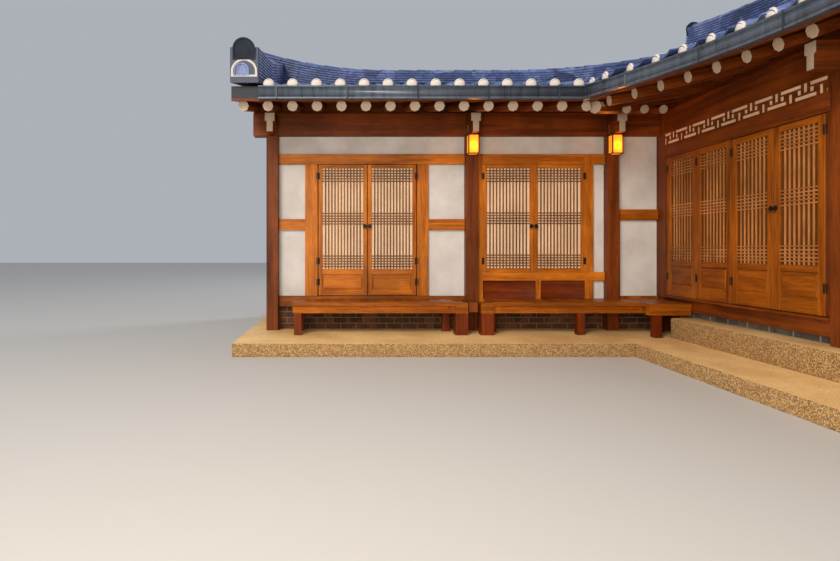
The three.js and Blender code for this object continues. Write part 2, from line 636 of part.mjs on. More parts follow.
const BASE_Z = [PLATFORM_TOP, BASE_TOP];
const allPosts = [...posts, cornerPost, nearPost, endPost, rearFrame, outerFrame];
const step = block([STEP.front, WALL], [NEAR_WALL[1], STEP.far], [PLATFORM_TOP, STEP_TOP]);
add("stone_step", cut(step, allPosts), STONE, 0.95);
const backBase = join([
  block([LEFT_WALL[0], WALL], BACK_BASE.front, BASE_Z),
  block(BACK_BASE.left, [BACK_BASE.front[0], BACK_BASE.rear[1]], BASE_Z),
  block([LEFT_WALL[0], WALL], BACK_BASE.rear, BASE_Z),
]);
const rightBase = join([
  block(RIGHT_BASE.front, [RIGHT_BASE.near[0], BACK_BASE.front[1]], BASE_Z),
  block([WALL, RIGHT_BASE.rear[1]], RIGHT_BASE.near, BASE_Z),
  block(RIGHT_BASE.rear, [RIGHT_BASE.near[0], RIGHT_BASE.rear[1]], BASE_Z),
  block([WALL, RIGHT_BASE.rear[1]], RIGHT_BASE.rear, BASE_Z),
]);
add("back_base", cut(backBase, allPosts), BRICK, 0.95);
add("right_base", cut(rightBase, allPosts), GREY_BLOCK, 0.95);

// Heated floors, laid on the masonry between the walls.
const FLOOR_Z = [BASE_TOP, MARU_TOP];
const gables = [leftGable, nearGable];
const backFloor = block([LEFT_WALL[1], WALL], [WALL, PLASTER_DEPTH[0]], FLOOR_Z);
const rightFloor = block([WALL, PLASTER_DEPTH[0]], [NEAR_WALL[1], PLASTER_DEPTH[0]], FLOOR_Z);
add("back_floor", cut(backFloor, [...gables, ...allPosts]), WOOD, 0.6);
add("right_floor", cut(rightFloor, [...gables, ...allPosts]), WOOD, 0.6);

// Maru: narrow wooden porches of boards on bearers and short legs, with a stout leg at one end.
const BEARER_Z = [MARU_TOP - MARU.board - MARU.timber, MARU_TOP - MARU.board];

function maru(decks, bearers, legs, endLeg) {
  const parts = decks.map(([x, y]) => block(x, y, [MARU_TOP - MARU.board, MARU_TOP]));
  for (const [x, y] of bearers) parts.push(block(x, y, BEARER_Z));
  for (const [x, y] of legs) {
    parts.push(block(about(x, MARU.timber), about(y, MARU.timber), [PLATFORM_TOP, BEARER_Z[0]]));
  }
  const endLegY = [MARU.front, MARU.front + MARU.endLeg];
  parts.push(block(endLeg, endLegY, [PLATFORM_TOP, MARU_TOP - MARU.endDrop]));
  return cut(join(parts), posts);
}

// A bearer along x in a row at y, or across at x between two places.
const bearerAlong = (x, y) => [x, about(y, MARU.timber)];
const bearerAcross = (x, y) => [about(x, MARU.timber), y];
const frontBearer = MARU.front + MARU_BEARER.front;
const backBearer = MARU_BEARER.back;
const innerBearer = MARU_BEARER.rightBack;
const acrossFront = MARU.front + MARU.inset / 2;
const [leftStart, leftEnd] = [LEFT_MARU[0] + MARU.inset, LEFT_MARU[1] - MARU.inset];
const leftMaru = maru(
  [[LEFT_MARU, [MARU.front, FRAME_FACE]]],
  [bearerAlong(LEFT_MARU, frontBearer), bearerAlong(LEFT_MARU, backBearer),
    bearerAcross(leftStart, [acrossFront, POST_FRONT]), bearerAcross(leftEnd, [acrossFront, POST_FRONT])],
  [[leftStart, frontBearer], [leftStart, backBearer], [leftEnd, backBearer]],
  [LEFT_MARU[1] - 1, LEFT_MARU[1] + MARU.endLeg],
);

const [rightStart, rightEnd] = [RIGHT_MARU[0] + MARU.inset, RIGHT_MARU[1] - MARU.inset];
const cornerBearer = MARU.cornerFront + MARU_BEARER.corner;
const cornerLegY = MARU.cornerFront + MARU.inset;
const cornerAcross = MARU.cornerFront + MARU.inset / 3;
const rightMaru = maru(
  [[RIGHT_MARU, [MARU.front, FRAME_FACE]], [CORNER_MARU, [MARU.cornerFront, MARU.front]]],
  [bearerAlong(RIGHT_MARU, frontBearer), bearerAlong(RIGHT_MARU, innerBearer),
    bearerAcross(rightStart, [acrossFront, backBearer]), bearerAlong(CORNER_MARU, cornerBearer),
    bearerAcross(CORNER_LEG, [cornerAcross, MARU.front + MARU.inset]),
    bearerAcross(rightEnd, [cornerAcross, backBearer])],
  [[CORNER_LEG, cornerLegY], [rightEnd, BESIDE_STEP], [rightStart, innerBearer], [rightEnd, innerBearer],
    [MIDDLE_LEG, frontBearer]],
  [RIGHT_MARU[0] - MARU.endLeg, RIGHT_MARU[0] + 1],
);
add("left_maru", leftMaru, WOOD, 0.6);
add("right_maru", rightMaru, WOOD, 0.6);

// Back wing, door bay: sill, lintel, jambs with a short rail, and plaster round them.
const FRAME = [FRAME_FACE, FRAME_BACK];
const DEEP_FRAME = [FRAME_FACE, WALL];
const doorBay = [BACK_POSTS[0] + POST / 2, BACK_POSTS[1] - POST / 2];
const doorSill = block(doorBay, DEEP_FRAME, SILL);
const doorLintel = block(doorBay, DEEP_FRAME, [LINTEL_BOTTOM, LINTEL_TOP]);
const jambZ = [SILL_TOP, LINTEL_BOTTOM];
const leftJamb = join([block([DOOR_FRAME[0], DOOR[0]], DEEP_FRAME, jambZ),
  block([doorBay[0], DOOR_FRAME[0]], FRAME, RAIL)]);
const rightJamb = join([block([DOOR[1], DOOR_FRAME[1]], DEEP_FRAME, jambZ),
  block([DOOR_FRAME[1], doorBay[1]], FRAME, RAIL)]);
add("door_sill", doorSill, WOOD);
add("door_lintel", doorLintel, WOOD);
add("door_jamb_left", leftJamb, WOOD);
add("door_jamb_right", rightJamb, WOOD);

// A plaster panel that fills a stretch of wall, let in round the timber that crosses it.
function panel(x, z, timbers) {
  return cut(block(x, [0, WALL], z), timbers);
}
add("wall_left_of_door", panel([doorBay[0], DOOR_FRAME[0]], jambZ, [leftJamb]), PLASTER, 0.95);
add("wall_right_of_door", panel([DOOR_FRAME[1], doorBay[1]], jambZ, [rightJamb]), PLASTER, 0.95);
add("wall_over_door", panel(doorBay, [LINTEL_TOP, TIE_BOTTOM], []), PLASTER, 0.95);

// Back wing, window bay: a window over a panelled timber apron.
const windowBay = [BACK_POSTS[1] + POST / 2, BACK_POSTS[2] - POST / 2];
const windowFrame = join([
  block(windowBay, FRAME, [BASE_TOP, MARU_TOP]),
  block(windowBay, FRAME, WINDOW_SILL),
  block(windowBay, FRAME, [LINTEL_BOTTOM, LINTEL_TOP]),
  block([windowBay[0], WINDOW[0]], FRAME, [MARU_TOP, LINTEL_BOTTOM]),
  block([WINDOW[1], WINDOW_JAMB], FRAME, [MARU_TOP, LINTEL_BOTTOM]),
  block(about(APRON.stile, APRON.width), FRAME, [MARU_TOP, WINDOW_SILL[0]]),
  block(WINDOW, APRON.board, [MARU_TOP, WINDOW_SILL[0]]),
]);
const windowHole = block(WINDOW, [FRAME_FACE, WALL + FRAME_BACK], [WINDOW_SILL[1], LINTEL_BOTTOM]);
const windowWall = panel(windowBay, [BASE_TOP, TIE_BOTTOM], [windowFrame, windowHole]);
add("window_frame", windowFrame, WOOD);
add("window_bay_wall", windowWall, PLASTER, 0.95);

// Back wing, end bay: plaster with a rail across it.
const endBay = [BACK_POSTS[2] + POST / 2, RIGHT_POST_FACE];
const endBayFrame = join([
  block(endBay, FRAME, SILL),
  block(endBay, FRAME, END_BAY_RAIL),
  block([endBay[0], endBay[0] + END_BAY_STILE], FRAME, [SILL_TOP, END_BAY_RAIL[1]]),
]);
add("end_bay_frame", endBayFrame, DARK_WOOD);
add("end_bay_wall", panel(endBay, [BASE_TOP, TIE_BOTTOM], [endBayFrame]), PLASTER, 0.95);

// Leaves: a frame of stiles and rails round thin fields, drawn along the wall with the face at depth 0.
function framed(across, z, fields, place) {
  const inside = [across[0] + STILE, across[1] - STILE];
  const outer = place(across, [0, LEAF], z);
  return cut(outer, fields.flatMap(([range, depth]) => [
    place(inside, [-LEAF, depth[0]], range),
    place(inside, [depth[1], LEAF * 2], range),
  ]));
}

// A door leaf has a wooden panel at its foot and a paper field above.
function leaf(across, z, place) {
  const height = z[1] - z[0];
  const field = [z[0] + height * FIELD_LOW, z[1] - TOP_RAIL];
  const foot = [z[0] + STILE, z[0] + height * PANEL_TOP];
  return framed(across, z, [[field, FIELD_DEPTH], [foot, PANEL_DEPTH]], place);
}

// Pins at the top and bottom of a hinged leaf, down to the sill and up to the lintel.
function pins(at, z, ends) {
  const [x, y] = at;
  const reach = [ends[0] + PIVOT.gap, ends[1] - PIVOT.gap];
  const overlap = 5;
  return [
    log([x, y, reach[0]], [x, y, z[0] + overlap], PIVOT.radius),
    log([x, y, z[1] - overlap], [x, y, reach[1]], PIVOT.radius),
  ];
}
const alongX = (across, depth, z) => block(across, depth.map((d) => FRAME_FACE + d), z);
const alongY = (across, depth, z) => block(depth, across, z);
const doorZ = [SILL_TOP + LEAF_LIFT, LINTEL_BOTTOM - LEAF_LIFT];
const meeting = (DOOR[0] + DOOR[1]) / 2;
const leftLeafX = [DOOR[0] + LEAF_GAP, meeting - MEETING_GAP / 2];
const rightLeafX = [meeting + MEETING_GAP / 2, DOOR[1] - LEAF_GAP];
const pivotY = FRAME_FACE + PIVOT.depth;
const leftPins = pins([leftLeafX[0] + PIVOT.inset, pivotY], doorZ, jambZ);
const rightPins = pins([rightLeafX[1] - PIVOT.inset, pivotY], doorZ, jambZ);
add("door_leaf_left", join([leaf(leftLeafX, doorZ, alongX), ...leftPins]), WOOD, 0.6);
add("door_leaf_right", join([leaf(rightLeafX, doorZ, alongX), ...rightPins]), WOOD, 0.6);

// The window's two leaves meet in the middle and are one sash here.
const windowZ = [WINDOW_SILL[1], LINTEL_BOTTOM];
const windowMiddle = (WINDOW[0] + WINDOW[1]) / 2;
const windowField = [windowZ[0] + STILE, windowZ[1] - TOP_RAIL];
const windowHalves = [[WINDOW[0], windowMiddle], [windowMiddle, WINDOW[1]]];
const sashes = windowHalves.map((half) => framed(half, windowZ, [[windowField, FIELD_DEPTH]], alongX));
add("window_leaves", join(sashes), WOOD, 0.6);

// Right wing, first bay: sill with a ledge, lintel with a transom, and four narrow leaves.
function lintelWithTransom(bay) {
  return join([
    block([LEDGE.lintel, WALL], bay, RIGHT_LINTEL),
    block(TRANSOM.board, bay, [RIGHT_LINTEL[1], TIE_BOTTOM]),
    block(TRANSOM.strip, bay, [TIE_BOTTOM - TRANSOM.height, TIE_BOTTOM]),
  ]);
}

function sillWithLedge(bay) {
  return join([
    block([0, LEDGE.beam], bay, SILL),
    block([LEDGE.sill, WALL], bay, [SILL_TOP, RIGHT_SILL_TOP]),
  ]);
}
const cutFloor = block([WALL, LEDGE.beam + FRAME_BACK], [NEAR_WALL[1], 0], FLOOR_Z);
add("right_door_sill", cut(sillWithLedge(firstBay), [cutFloor]), DARK_WOOD);
add("right_door_lintel", lintelWithTransom(firstBay), DARK_WOOD);

const rightOpening = [firstBay[0] + JAMB, firstBay[1] - CORNER_JAMB];
const leafWidth = (rightOpening[1] - rightOpening[0]) / 4;
const leafEdge = (i) => rightOpening[1] - i * leafWidth;
const rightLeafZ = [RIGHT_SILL_TOP, RIGHT_LINTEL[0]];
const hingedZ = [rightLeafZ[0] + LEAF_LIFT, rightLeafZ[1] - LEAF_LIFT];
const fixedPair = join([
  leaf([leafEdge(1), leafEdge(0)], rightLeafZ, alongY),
  leaf([leafEdge(2), leafEdge(1)], rightLeafZ, alongY),
]);
add("right_folding_leaves", fixedPair, DARK_WOOD, 0.6);

const thirdLeafY = [leafEdge(3) + MEETING_GAP / 2, leafEdge(2) - LEAF_GAP];
const fourthLeafY = [leafEdge(4) + LEAF_GAP, leafEdge(3) - MEETING_GAP / 2];
const thirdPins = pins([PIVOT.depth, thirdLeafY[1] - PIVOT.inset], hingedZ, rightLeafZ);
const fourthPins = pins([PIVOT.depth, fourthLeafY[0] + PIVOT.inset], hingedZ, rightLeafZ);
add("right_leaf_far", join([leaf(thirdLeafY, hingedZ, alongY), ...thirdPins]), DARK_WOOD, 0.6);
add("right_leaf_near", join([leaf(fourthLeafY, hingedZ, alongY), ...fourthPins]), DARK_WOOD, 0.6);

// Right wing, second bay: the same doors again, as one closed screen.
const screenOpening = [secondBay[0] + JAMB, secondBay[1] - JAMB];
const screenLeaf = (screenOpening[1] - screenOpening[0]) / 4;
const screen = join([
  cut(sillWithLedge(secondBay), [cutFloor]),
  lintelWithTransom(secondBay),
  block([0, WALL], [secondBay[0], screenOpening[0]], rightLeafZ),
  block([0, WALL], [screenOpening[1], secondBay[1]], rightLeafZ),
  ...[0, 1, 2, 3].map((i) => {
    const start = screenOpening[0] + i * screenLeaf;
    return leaf([start, start + screenLeaf], rightLeafZ, alongY);
  }),
]);
add("second_bay_screen", screen, DARK_WOOD, 0.6);

// Lanterns on the two posts beside the window.
BACK_POSTS.slice(1).forEach((x, i) => {
  const lantern = block(about(x, LANTERN.width), [POST_FRONT - LANTERN.depth, POST_FRONT], LANTERN.z);
  add("lantern_" + (i + 1), lantern, LIGHT, 0.5);
});

export default house;
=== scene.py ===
import bpy
import bmesh
import json
import math
import random
from mathutils import Matrix, Vector

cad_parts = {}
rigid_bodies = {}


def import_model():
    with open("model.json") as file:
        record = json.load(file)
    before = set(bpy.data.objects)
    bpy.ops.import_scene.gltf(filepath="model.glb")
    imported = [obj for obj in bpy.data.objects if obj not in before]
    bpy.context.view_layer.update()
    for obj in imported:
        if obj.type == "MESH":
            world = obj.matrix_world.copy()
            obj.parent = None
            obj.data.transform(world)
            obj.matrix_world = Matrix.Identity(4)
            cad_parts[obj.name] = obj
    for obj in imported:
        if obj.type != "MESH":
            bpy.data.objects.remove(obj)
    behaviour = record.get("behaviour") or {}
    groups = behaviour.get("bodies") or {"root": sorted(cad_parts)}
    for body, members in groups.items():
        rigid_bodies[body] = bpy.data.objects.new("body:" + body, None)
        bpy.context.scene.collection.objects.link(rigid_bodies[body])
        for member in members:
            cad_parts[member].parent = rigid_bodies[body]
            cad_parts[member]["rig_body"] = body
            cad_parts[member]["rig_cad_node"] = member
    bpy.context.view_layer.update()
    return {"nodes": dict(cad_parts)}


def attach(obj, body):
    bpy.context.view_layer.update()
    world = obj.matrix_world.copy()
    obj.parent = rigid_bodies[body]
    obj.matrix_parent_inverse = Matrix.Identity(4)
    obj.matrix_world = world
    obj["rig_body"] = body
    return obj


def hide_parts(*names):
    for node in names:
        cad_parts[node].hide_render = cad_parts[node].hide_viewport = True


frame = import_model()
nodes = frame["nodes"]


# Camera
# Stands in the courtyard at seated height and looks level at the back wing. The picture is framed by
# a shift of the lens, as a view camera does, so that the posts stay upright.
CAMERA_PLACE = (-4.02, -7.34, 1.18)
LENS_LENGTH = 24.2
LENS_SHIFT = (0.0857, -0.0363)

bpy.ops.object.camera_add(location=CAMERA_PLACE, rotation=(math.radians(90), 0, 0))
camera = bpy.context.object
camera.data.lens = LENS_LENGTH
camera.data.sensor_width = 36
camera.data.shift_x, camera.data.shift_y = LENS_SHIFT
bpy.context.scene.camera = camera
bpy.context.scene.view_settings.view_transform = "Standard"


# Studio floor
# A plain pale floor under the whole house. It isn't part of the house.
FLOOR_SIZE = 90
FLOOR_COLOUR = (0.62, 0.60, 0.57, 1)


def material(name, colour, roughness):
    """A new finish with one principled shader."""
    finish = bpy.data.materials.new(name)
    finish.use_nodes = True
    shader = finish.node_tree.nodes["Principled BSDF"]
    shader.inputs["Base Color"].default_value = colour
    shader.inputs["Roughness"].default_value = roughness
    return finish


bpy.ops.object.select_all(action="DESELECT")
bpy.ops.mesh.primitive_plane_add(size=FLOOR_SIZE, location=(0, 0, 0))
floor = bpy.context.object
floor.name = "studio_floor"
floor.data.materials.append(material("studio floor", FLOOR_COLOUR, 0.75))


# Light
# Soft studio light: a pale sky all round, a broad warm key light from the front left, a low fill light in
# the courtyard that reaches in under the eaves, and a cool light behind the house.
SKY_COLOUR = (0.86, 0.91, 1.0, 1)
SKY_STRENGTH = 0.48


def soft_light(name, place, aim, size, power, colour, spread=180):
    """A round soft lamp that shines from its place towards aim. spread is the angle of its beam."""
    bpy.ops.object.light_add(type="AREA", location=place)
    lamp = bpy.context.object
    lamp.name = name
    lamp.data.shape = "DISK"
    lamp.data.size = size
    lamp.data.energy = power
    lamp.data.spread = math.radians(spread)
    lamp.data.color = colour
    lamp.rotation_euler = (Vector(aim) - Vector(place)).to_track_quat("-Z", "Y").to_euler()


sky = bpy.data.worlds.new("studio sky")
sky.use_nodes = True
sky.node_tree.nodes["Background"].inputs["Color"].default_value = SKY_COLOUR
sky.node_tree.nodes["Background"].inputs["Strength"].default_value = SKY_STRENGTH
bpy.context.scene.world = sky
soft_light("key_light", place=(-9.5, -12.0, 9.0), aim=(-1.5, -0.5, 1.6), size=5.0, power=1300,
           colour=(1.0, 0.92, 0.80))
soft_light("courtyard_fill", place=(-5.2, -8.6, 2.2), aim=(-1.6, 0.0, 1.9), size=4.0, power=132,
           colour=(1.0, 0.86, 0.68), spread=120)
soft_light("rear_light", place=(9.0, 13.0, 9.0), aim=(0.0, 1.0, 1.8), size=6.0, power=1200,
           colour=(0.95, 0.96, 1.0))


# Platforms and stone step
# The house stands on a low platform of sawn sandstone slabs on a core of exposed aggregate concrete,
# and a step of the same concrete with a smooth peach-coloured top runs along the right wing.
STONE_LIGHT = (0.97, 0.66, 0.29, 1)
STONE_DARK = (0.78, 0.48, 0.19, 1)
PEBBLE_TONES = ((0.0, (0.22, 0.115, 0.042, 1)), (0.35, (0.42, 0.225, 0.08, 1)),
                (0.7, (0.64, 0.36, 0.125, 1)), (1.0, (0.82, 0.58, 0.26, 1)))
PEBBLE_GAP = (0.30, 0.19, 0.09, 1)
PEBBLE_SCALE = 105.0
STONE_EASE = 0.006


def add_node(finish, kind, settings=None, **inputs):
    """Adds a shader node. An input is a number, a colour or another node's output."""
    new = finish.node_tree.nodes.new(kind)
    for key, value in (settings or {}).items():
        setattr(new, key, value)
    for key, value in inputs.items():
        socket = new.inputs[key.replace("_", " ")]
        if isinstance(value, bpy.types.NodeSocket):
            finish.node_tree.links.new(value, socket)
        else:
            socket.default_value = value
    return new


def place_in(finish, scale=(1, 1, 1), turn=(0, 0, 0), shift=(0, 0, 0)):
    """The place on the piece, in metres of the house, stretched by scale."""
    coordinates = add_node(finish, "ShaderNodeTexCoord").outputs["Object"]
    return add_node(finish, "ShaderNodeMapping", Vector=coordinates, Scale=scale, Rotation=turn,
                    Location=shift).outputs["Vector"]


def noise(finish, place, scale, detail=3.0, rough=0.55, distortion=0.0):
    """Cloudy noise, from 0 to 1."""
    return add_node(finish, "ShaderNodeTexNoise", Vector=place, Scale=scale, Detail=detail,
                    Roughness=rough, Distortion=distortion).outputs["Fac"]


def tones(finish, factor, stops):
    """A colour band with the given (place, colour) stops."""
    band = add_node(finish, "ShaderNodeValToRGB", Fac=factor)
    while len(band.color_ramp.elements) < len(stops):
        band.color_ramp.elements.new(0.5)
    for element, (place, colour) in zip(band.color_ramp.elements, stops):
        element.position = place
        element.color = colour
    return band.outputs["Color"]


def mixed(finish, factor, first, second, blend="MIX"):
    """Two colours mixed by a factor."""
    mix = add_node(finish, "ShaderNodeMix", {"data_type": "RGBA", "blend_type": blend})
    for slot, value in ((0, factor), (6, first), (7, second)):
        if isinstance(value, bpy.types.NodeSocket):
            finish.node_tree.links.new(value, mix.inputs[slot])
        else:
            mix.inputs[slot].default_value = value
    return mix.outputs[2]


def within(finish, factor, low, high, to_low=0.0, to_high=1.0):
    """A factor spread from its range low to high onto to_low to to_high."""
    names = {"From_Min": low, "From_Max": high, "To_Min": to_low, "To_Max": to_high}
    return add_node(finish, "ShaderNodeMapRange", Value=factor, **names).outputs["Result"]


def wire(finish, colour=None, roughness=None, height=None, depth=0.001, strength=0.6):
    """Connects colour, roughness and bump height to the finish's shader."""
    tree = finish.node_tree
    shader = tree.nodes["Principled BSDF"]
    if colour is not None:
        tree.links.new(colour, shader.inputs["Base Color"])
    if roughness is not None:
        tree.links.new(roughness, shader.inputs["Roughness"])
    if height is not None:
        bump = add_node(finish, "ShaderNodeBump", Height=height, Distance=depth, Strength=strength)
        tree.links.new(bump.outputs["Normal"], shader.inputs["Normal"])
    return finish


def smooth_stone(name, light, dark):
    """Sawn sandstone or smooth concrete: soft clouds of colour with fine dark specks."""
    finish = material(name, light, 0.7)
    place = place_in(finish)
    clouds = noise(finish, place, 1.7, 6.0, 0.62)
    specks = noise(finish, place, 95.0, 2.0, 0.5)
    body = tones(finish, clouds, ((0.36, dark), (0.64, light)))
    grains = tones(finish, specks, ((0.35, (0.55, 0.5, 0.46, 1)), (0.6, (1, 1, 1, 1))))
    colour = mixed(finish, 0.55, body, grains, "MULTIPLY")
    rough = within(finish, clouds, 0.3, 0.7, 0.42, 0.78)
    return wire(finish, colour, rough, specks, 0.002, 0.5)


def pebbled_stone(name):
    """Concrete with its pebbles washed bare, each pebble with a tone of its own."""
    finish = material(name, STONE_DARK, 0.8)
    place = place_in(finish)
    pebbles = add_node(finish, "ShaderNodeTexVoronoi", Vector=place, Scale=PEBBLE_SCALE)
    edges = add_node(finish, "ShaderNodeTexVoronoi", {"feature": "DISTANCE_TO_EDGE"}, Vector=place,
                     Scale=PEBBLE_SCALE)
    tone = add_node(finish, "ShaderNodeSeparateColor", Color=pebbles.outputs["Color"]).outputs["Red"]
    stones = tones(finish, tone, PEBBLE_TONES)
    gaps = within(finish, edges.outputs["Distance"], 0.0, 0.12)
    colour = mixed(finish, gaps, PEBBLE_GAP, stones)
    return wire(finish, colour, None, gaps, 0.004, 0.8)


def select_only(piece):
    """Makes a piece the only selected one, and the active one."""
    bpy.ops.object.select_all(action="DESELECT")
    bpy.context.view_layer.objects.active = piece
    piece.select_set(True)


def ease_edges(piece, width):
    """Eases the sharp edges of the selected piece."""
    bevel = piece.modifiers.new("eased edges", "BEVEL")
    bevel.width = width
    bevel.segments = 2
    bevel.angle_limit = math.radians(25)
    bpy.ops.object.modifier_apply(modifier=bevel.name)


def dressed(name, node, finishes, ease, body="house", choose=None):
    """Stands a copy of a CAD node in its place with eased edges. choose picks the finish of each face."""
    piece = nodes[node].copy()
    piece.data = nodes[node].data.copy()
    piece.name = name
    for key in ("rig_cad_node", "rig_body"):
        del piece[key]
    bpy.context.collection.objects.link(piece)
    shape = bmesh.new()
    shape.from_mesh(piece.data)
    bmesh.ops.remove_doubles(shape, verts=shape.verts, dist=0.00005)
    bmesh.ops.dissolve_limit(shape, angle_limit=0.01, verts=shape.verts, edges=shape.edges)
    shape.to_mesh(piece.data)
    shape.free()
    select_only(piece)
    if ease:
        ease_edges(piece, ease)
    finish_faces(piece, finishes, choose)
    bpy.ops.object.shade_smooth_by_angle(angle=math.radians(40))
    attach(piece, body)
    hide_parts(node)
    return piece


def finish_faces(piece, finishes, choose=None):
    """Gives a piece its finishes; choose(face) gives the number of the finish of each face."""
    piece.data.materials.clear()
    for finish in finishes:
        piece.data.materials.append(finish)
    for face in piece.data.polygons:
        face.material_index = choose(face) if choose else 0


def top_or_side(face):
    """The first finish for a face that looks up, and the second for any other."""
    return 0 if face.normal.z > 0.6 else 1


peach_stone = smooth_stone("peach stone", STONE_LIGHT, STONE_DARK)
pebbled = pebbled_stone("exposed aggregate")
for stone_part in ("back_platform", "right_platform", "stone_step"):
    stone = dressed(stone_part + "_stone", stone_part, (peach_stone, pebbled), STONE_EASE, choose=top_or_side)


# Brick plinth and grey block plinth
# Under the back wing stands a low wall of dark fired bricks laid in brown clay mortar, and under the
# right wing one of dressed grey granite blocks with wide whitish joints.
BRICK_LENGTH = 0.20
BRICK_COURSE = 0.08
BRICK_JOINT = 0.012
BLOCK_LENGTH = 0.30
BLOCK_COURSE = 0.15
BLOCK_JOINT = 0.016
MASONRY_PROUD = 0.007
PLINTH_TOP = 0.45
PLATFORM_TOP = 0.15
BRICK_TONES = ((0.0, (0.035, 0.013, 0.006, 1)), (0.5, (0.085, 0.030, 0.011, 1)),
               (1.0, (0.15, 0.055, 0.020, 1)))
BLOCK_TONES = ((0.0, (0.10, 0.10, 0.10, 1)), (0.5, (0.17, 0.165, 0.16, 1)),
               (1.0, (0.26, 0.25, 0.235, 1)))
MORTAR = (0.22, 0.135, 0.07, 1)
WHITE_MORTAR = (0.66, 0.63, 0.58, 1)


def masonry_finish(name, stops, cell):
    """Fired brick or granite whose tone changes from one unit to the next."""
    finish = material(name, stops[1][1], 0.85)
    place = place_in(finish)
    units = add_node(finish, "ShaderNodeTexVoronoi", {"distance": "CHEBYCHEV"}, Vector=place, Scale=1 / cell)
    unit = add_node(finish, "ShaderNodeSeparateColor", Color=units.outputs["Color"]).outputs["Red"]
    grain = noise(finish, place, 60.0, 5.0, 0.7)
    body = tones(finish, unit, stops)
    worn = tones(finish, grain, ((0.3, (0.45, 0.43, 0.42, 1)), (0.65, (1.25, 1.2, 1.15, 1))))
    return wire(finish, mixed(finish, 0.7, body, worn, "MULTIPLY"), None, grain, 0.004, 0.7)


def mortar_finish(name, colour):
    """Sandy mortar, clay or lime."""
    finish = material(name, colour, 0.95)
    grain = noise(finish, place_in(finish), 140.0, 3.0, 0.6)
    sand = tones(finish, grain, ((0.3, (0.6, 0.58, 0.55, 1)), (0.7, (1.1, 1.08, 1.05, 1))))
    return wire(finish, mixed(finish, 0.8, colour, sand, "MULTIPLY"), None, grain, 0.002, 0.6)


def fresh_box(size, place=(0, 0, 0)):
    """Adds a box of the given size with its middle at place."""
    bpy.ops.object.select_all(action="DESELECT")
    bpy.ops.mesh.primitive_cube_add(size=1, location=place)
    bpy.context.object.scale = size
    bpy.ops.object.transform_apply(location=True, rotation=True, scale=True)
    return bpy.context.object


def edit_faces(piece, test):
    """Opens a piece for editing with those faces selected whose middle and normal pass the test."""
    bpy.ops.object.mode_set(mode="EDIT")
    bpy.ops.mesh.select_mode(type="FACE")
    bpy.ops.mesh.select_all(action="DESELECT")
    shape = bmesh.from_edit_mesh(piece.data)
    for face in shape.faces:
        face.select_set(test(face.calc_center_median(), face.normal))
    shape.select_flush_mode()
    bmesh.update_edit_mesh(piece.data)


def join_all(parts):
    """Joins parts into the first of them."""
    bpy.ops.object.select_all(action="DESELECT")
    for part in parts:
        part.select_set(True)
    bpy.context.view_layer.objects.active = parts[0]
    bpy.ops.object.join()
    return parts[0]


def copies_of(master, places, name, finishes, body="house"):
    """One piece made of copies of a modelled master, one for each place, a matrix. The master goes."""
    made = []
    for place in places:
        one = master.copy()
        one.data = master.data.copy()
        one.data.transform(place)
        bpy.context.collection.objects.link(one)
        made.append(one)
    bpy.data.objects.remove(master)
    return finished(join_all(made), name, finishes, body)


def finished(piece, name, finishes, body="house"):
    """Names a piece, gives it its finishes and lets it ride on a body."""
    piece.name = name
    if len(piece.data.materials) != len(finishes):
        piece.data.materials.clear()
        for finish in finishes:
            piece.data.materials.append(finish)
    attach(piece, body)
    return piece


def unit_of_masonry(length, height):
    """A brick or block, bedded back in the wall, with the edges of its face eased."""
    unit = fresh_box((length, 0.02, height), (0, 0.01 - MASONRY_PROUD, 0))
    edit_faces(unit, lambda middle, normal: normal.y < -0.9)
    bpy.ops.mesh.bevel(offset=0.004, segments=1, affect="EDGES")
    bpy.ops.object.mode_set(mode="OBJECT")
    return unit


def courses(start, end, unit, course, joint, draws):
    """Places in running bond on the outer face of a plinth from start to end, seen from outside with
    start at the left. The units are stretched to fill the wall's length and height."""
    start, end = Vector(start), Vector(end)
    length = (end - start).length
    turn = Matrix.Rotation(math.atan2(end.y - start.y, end.x - start.x), 4, "Z")
    rows = round((PLINTH_TOP - PLATFORM_TOP) / course)
    height = (PLINTH_TOP - PLATFORM_TOP) / rows
    places = []
    for row in range(rows):
        joints = [0.0]
        at = unit * (0.5 if row % 2 else 1.0)
        while at < length - unit * 0.3:
            joints.append(at)
            at += unit
        joints.append(length)
        for left, right in zip(joints, joints[1:]):
            middle = start.lerp(end, (left + right) / 2 / length)
            proud = Matrix.Translation((0, draws.uniform(0, MASONRY_PROUD * 0.4), 0))
            stretch = Matrix.Diagonal(((right - left - joint) / (unit - joint), 1,
                                       (height - joint) / (course - joint), 1))
            lift = PLATFORM_TOP + (row + 0.5) * height
            places.append(Matrix.Translation((middle.x, middle.y, lift)) @ turn @ proud @ stretch)
    return places


brick = masonry_finish("dark brick", BRICK_TONES, 0.13)
block = masonry_finish("grey granite block", BLOCK_TONES, 0.2)
brown_mortar = mortar_finish("lime mortar", MORTAR)
white_mortar = mortar_finish("white mortar", WHITE_MORTAR)

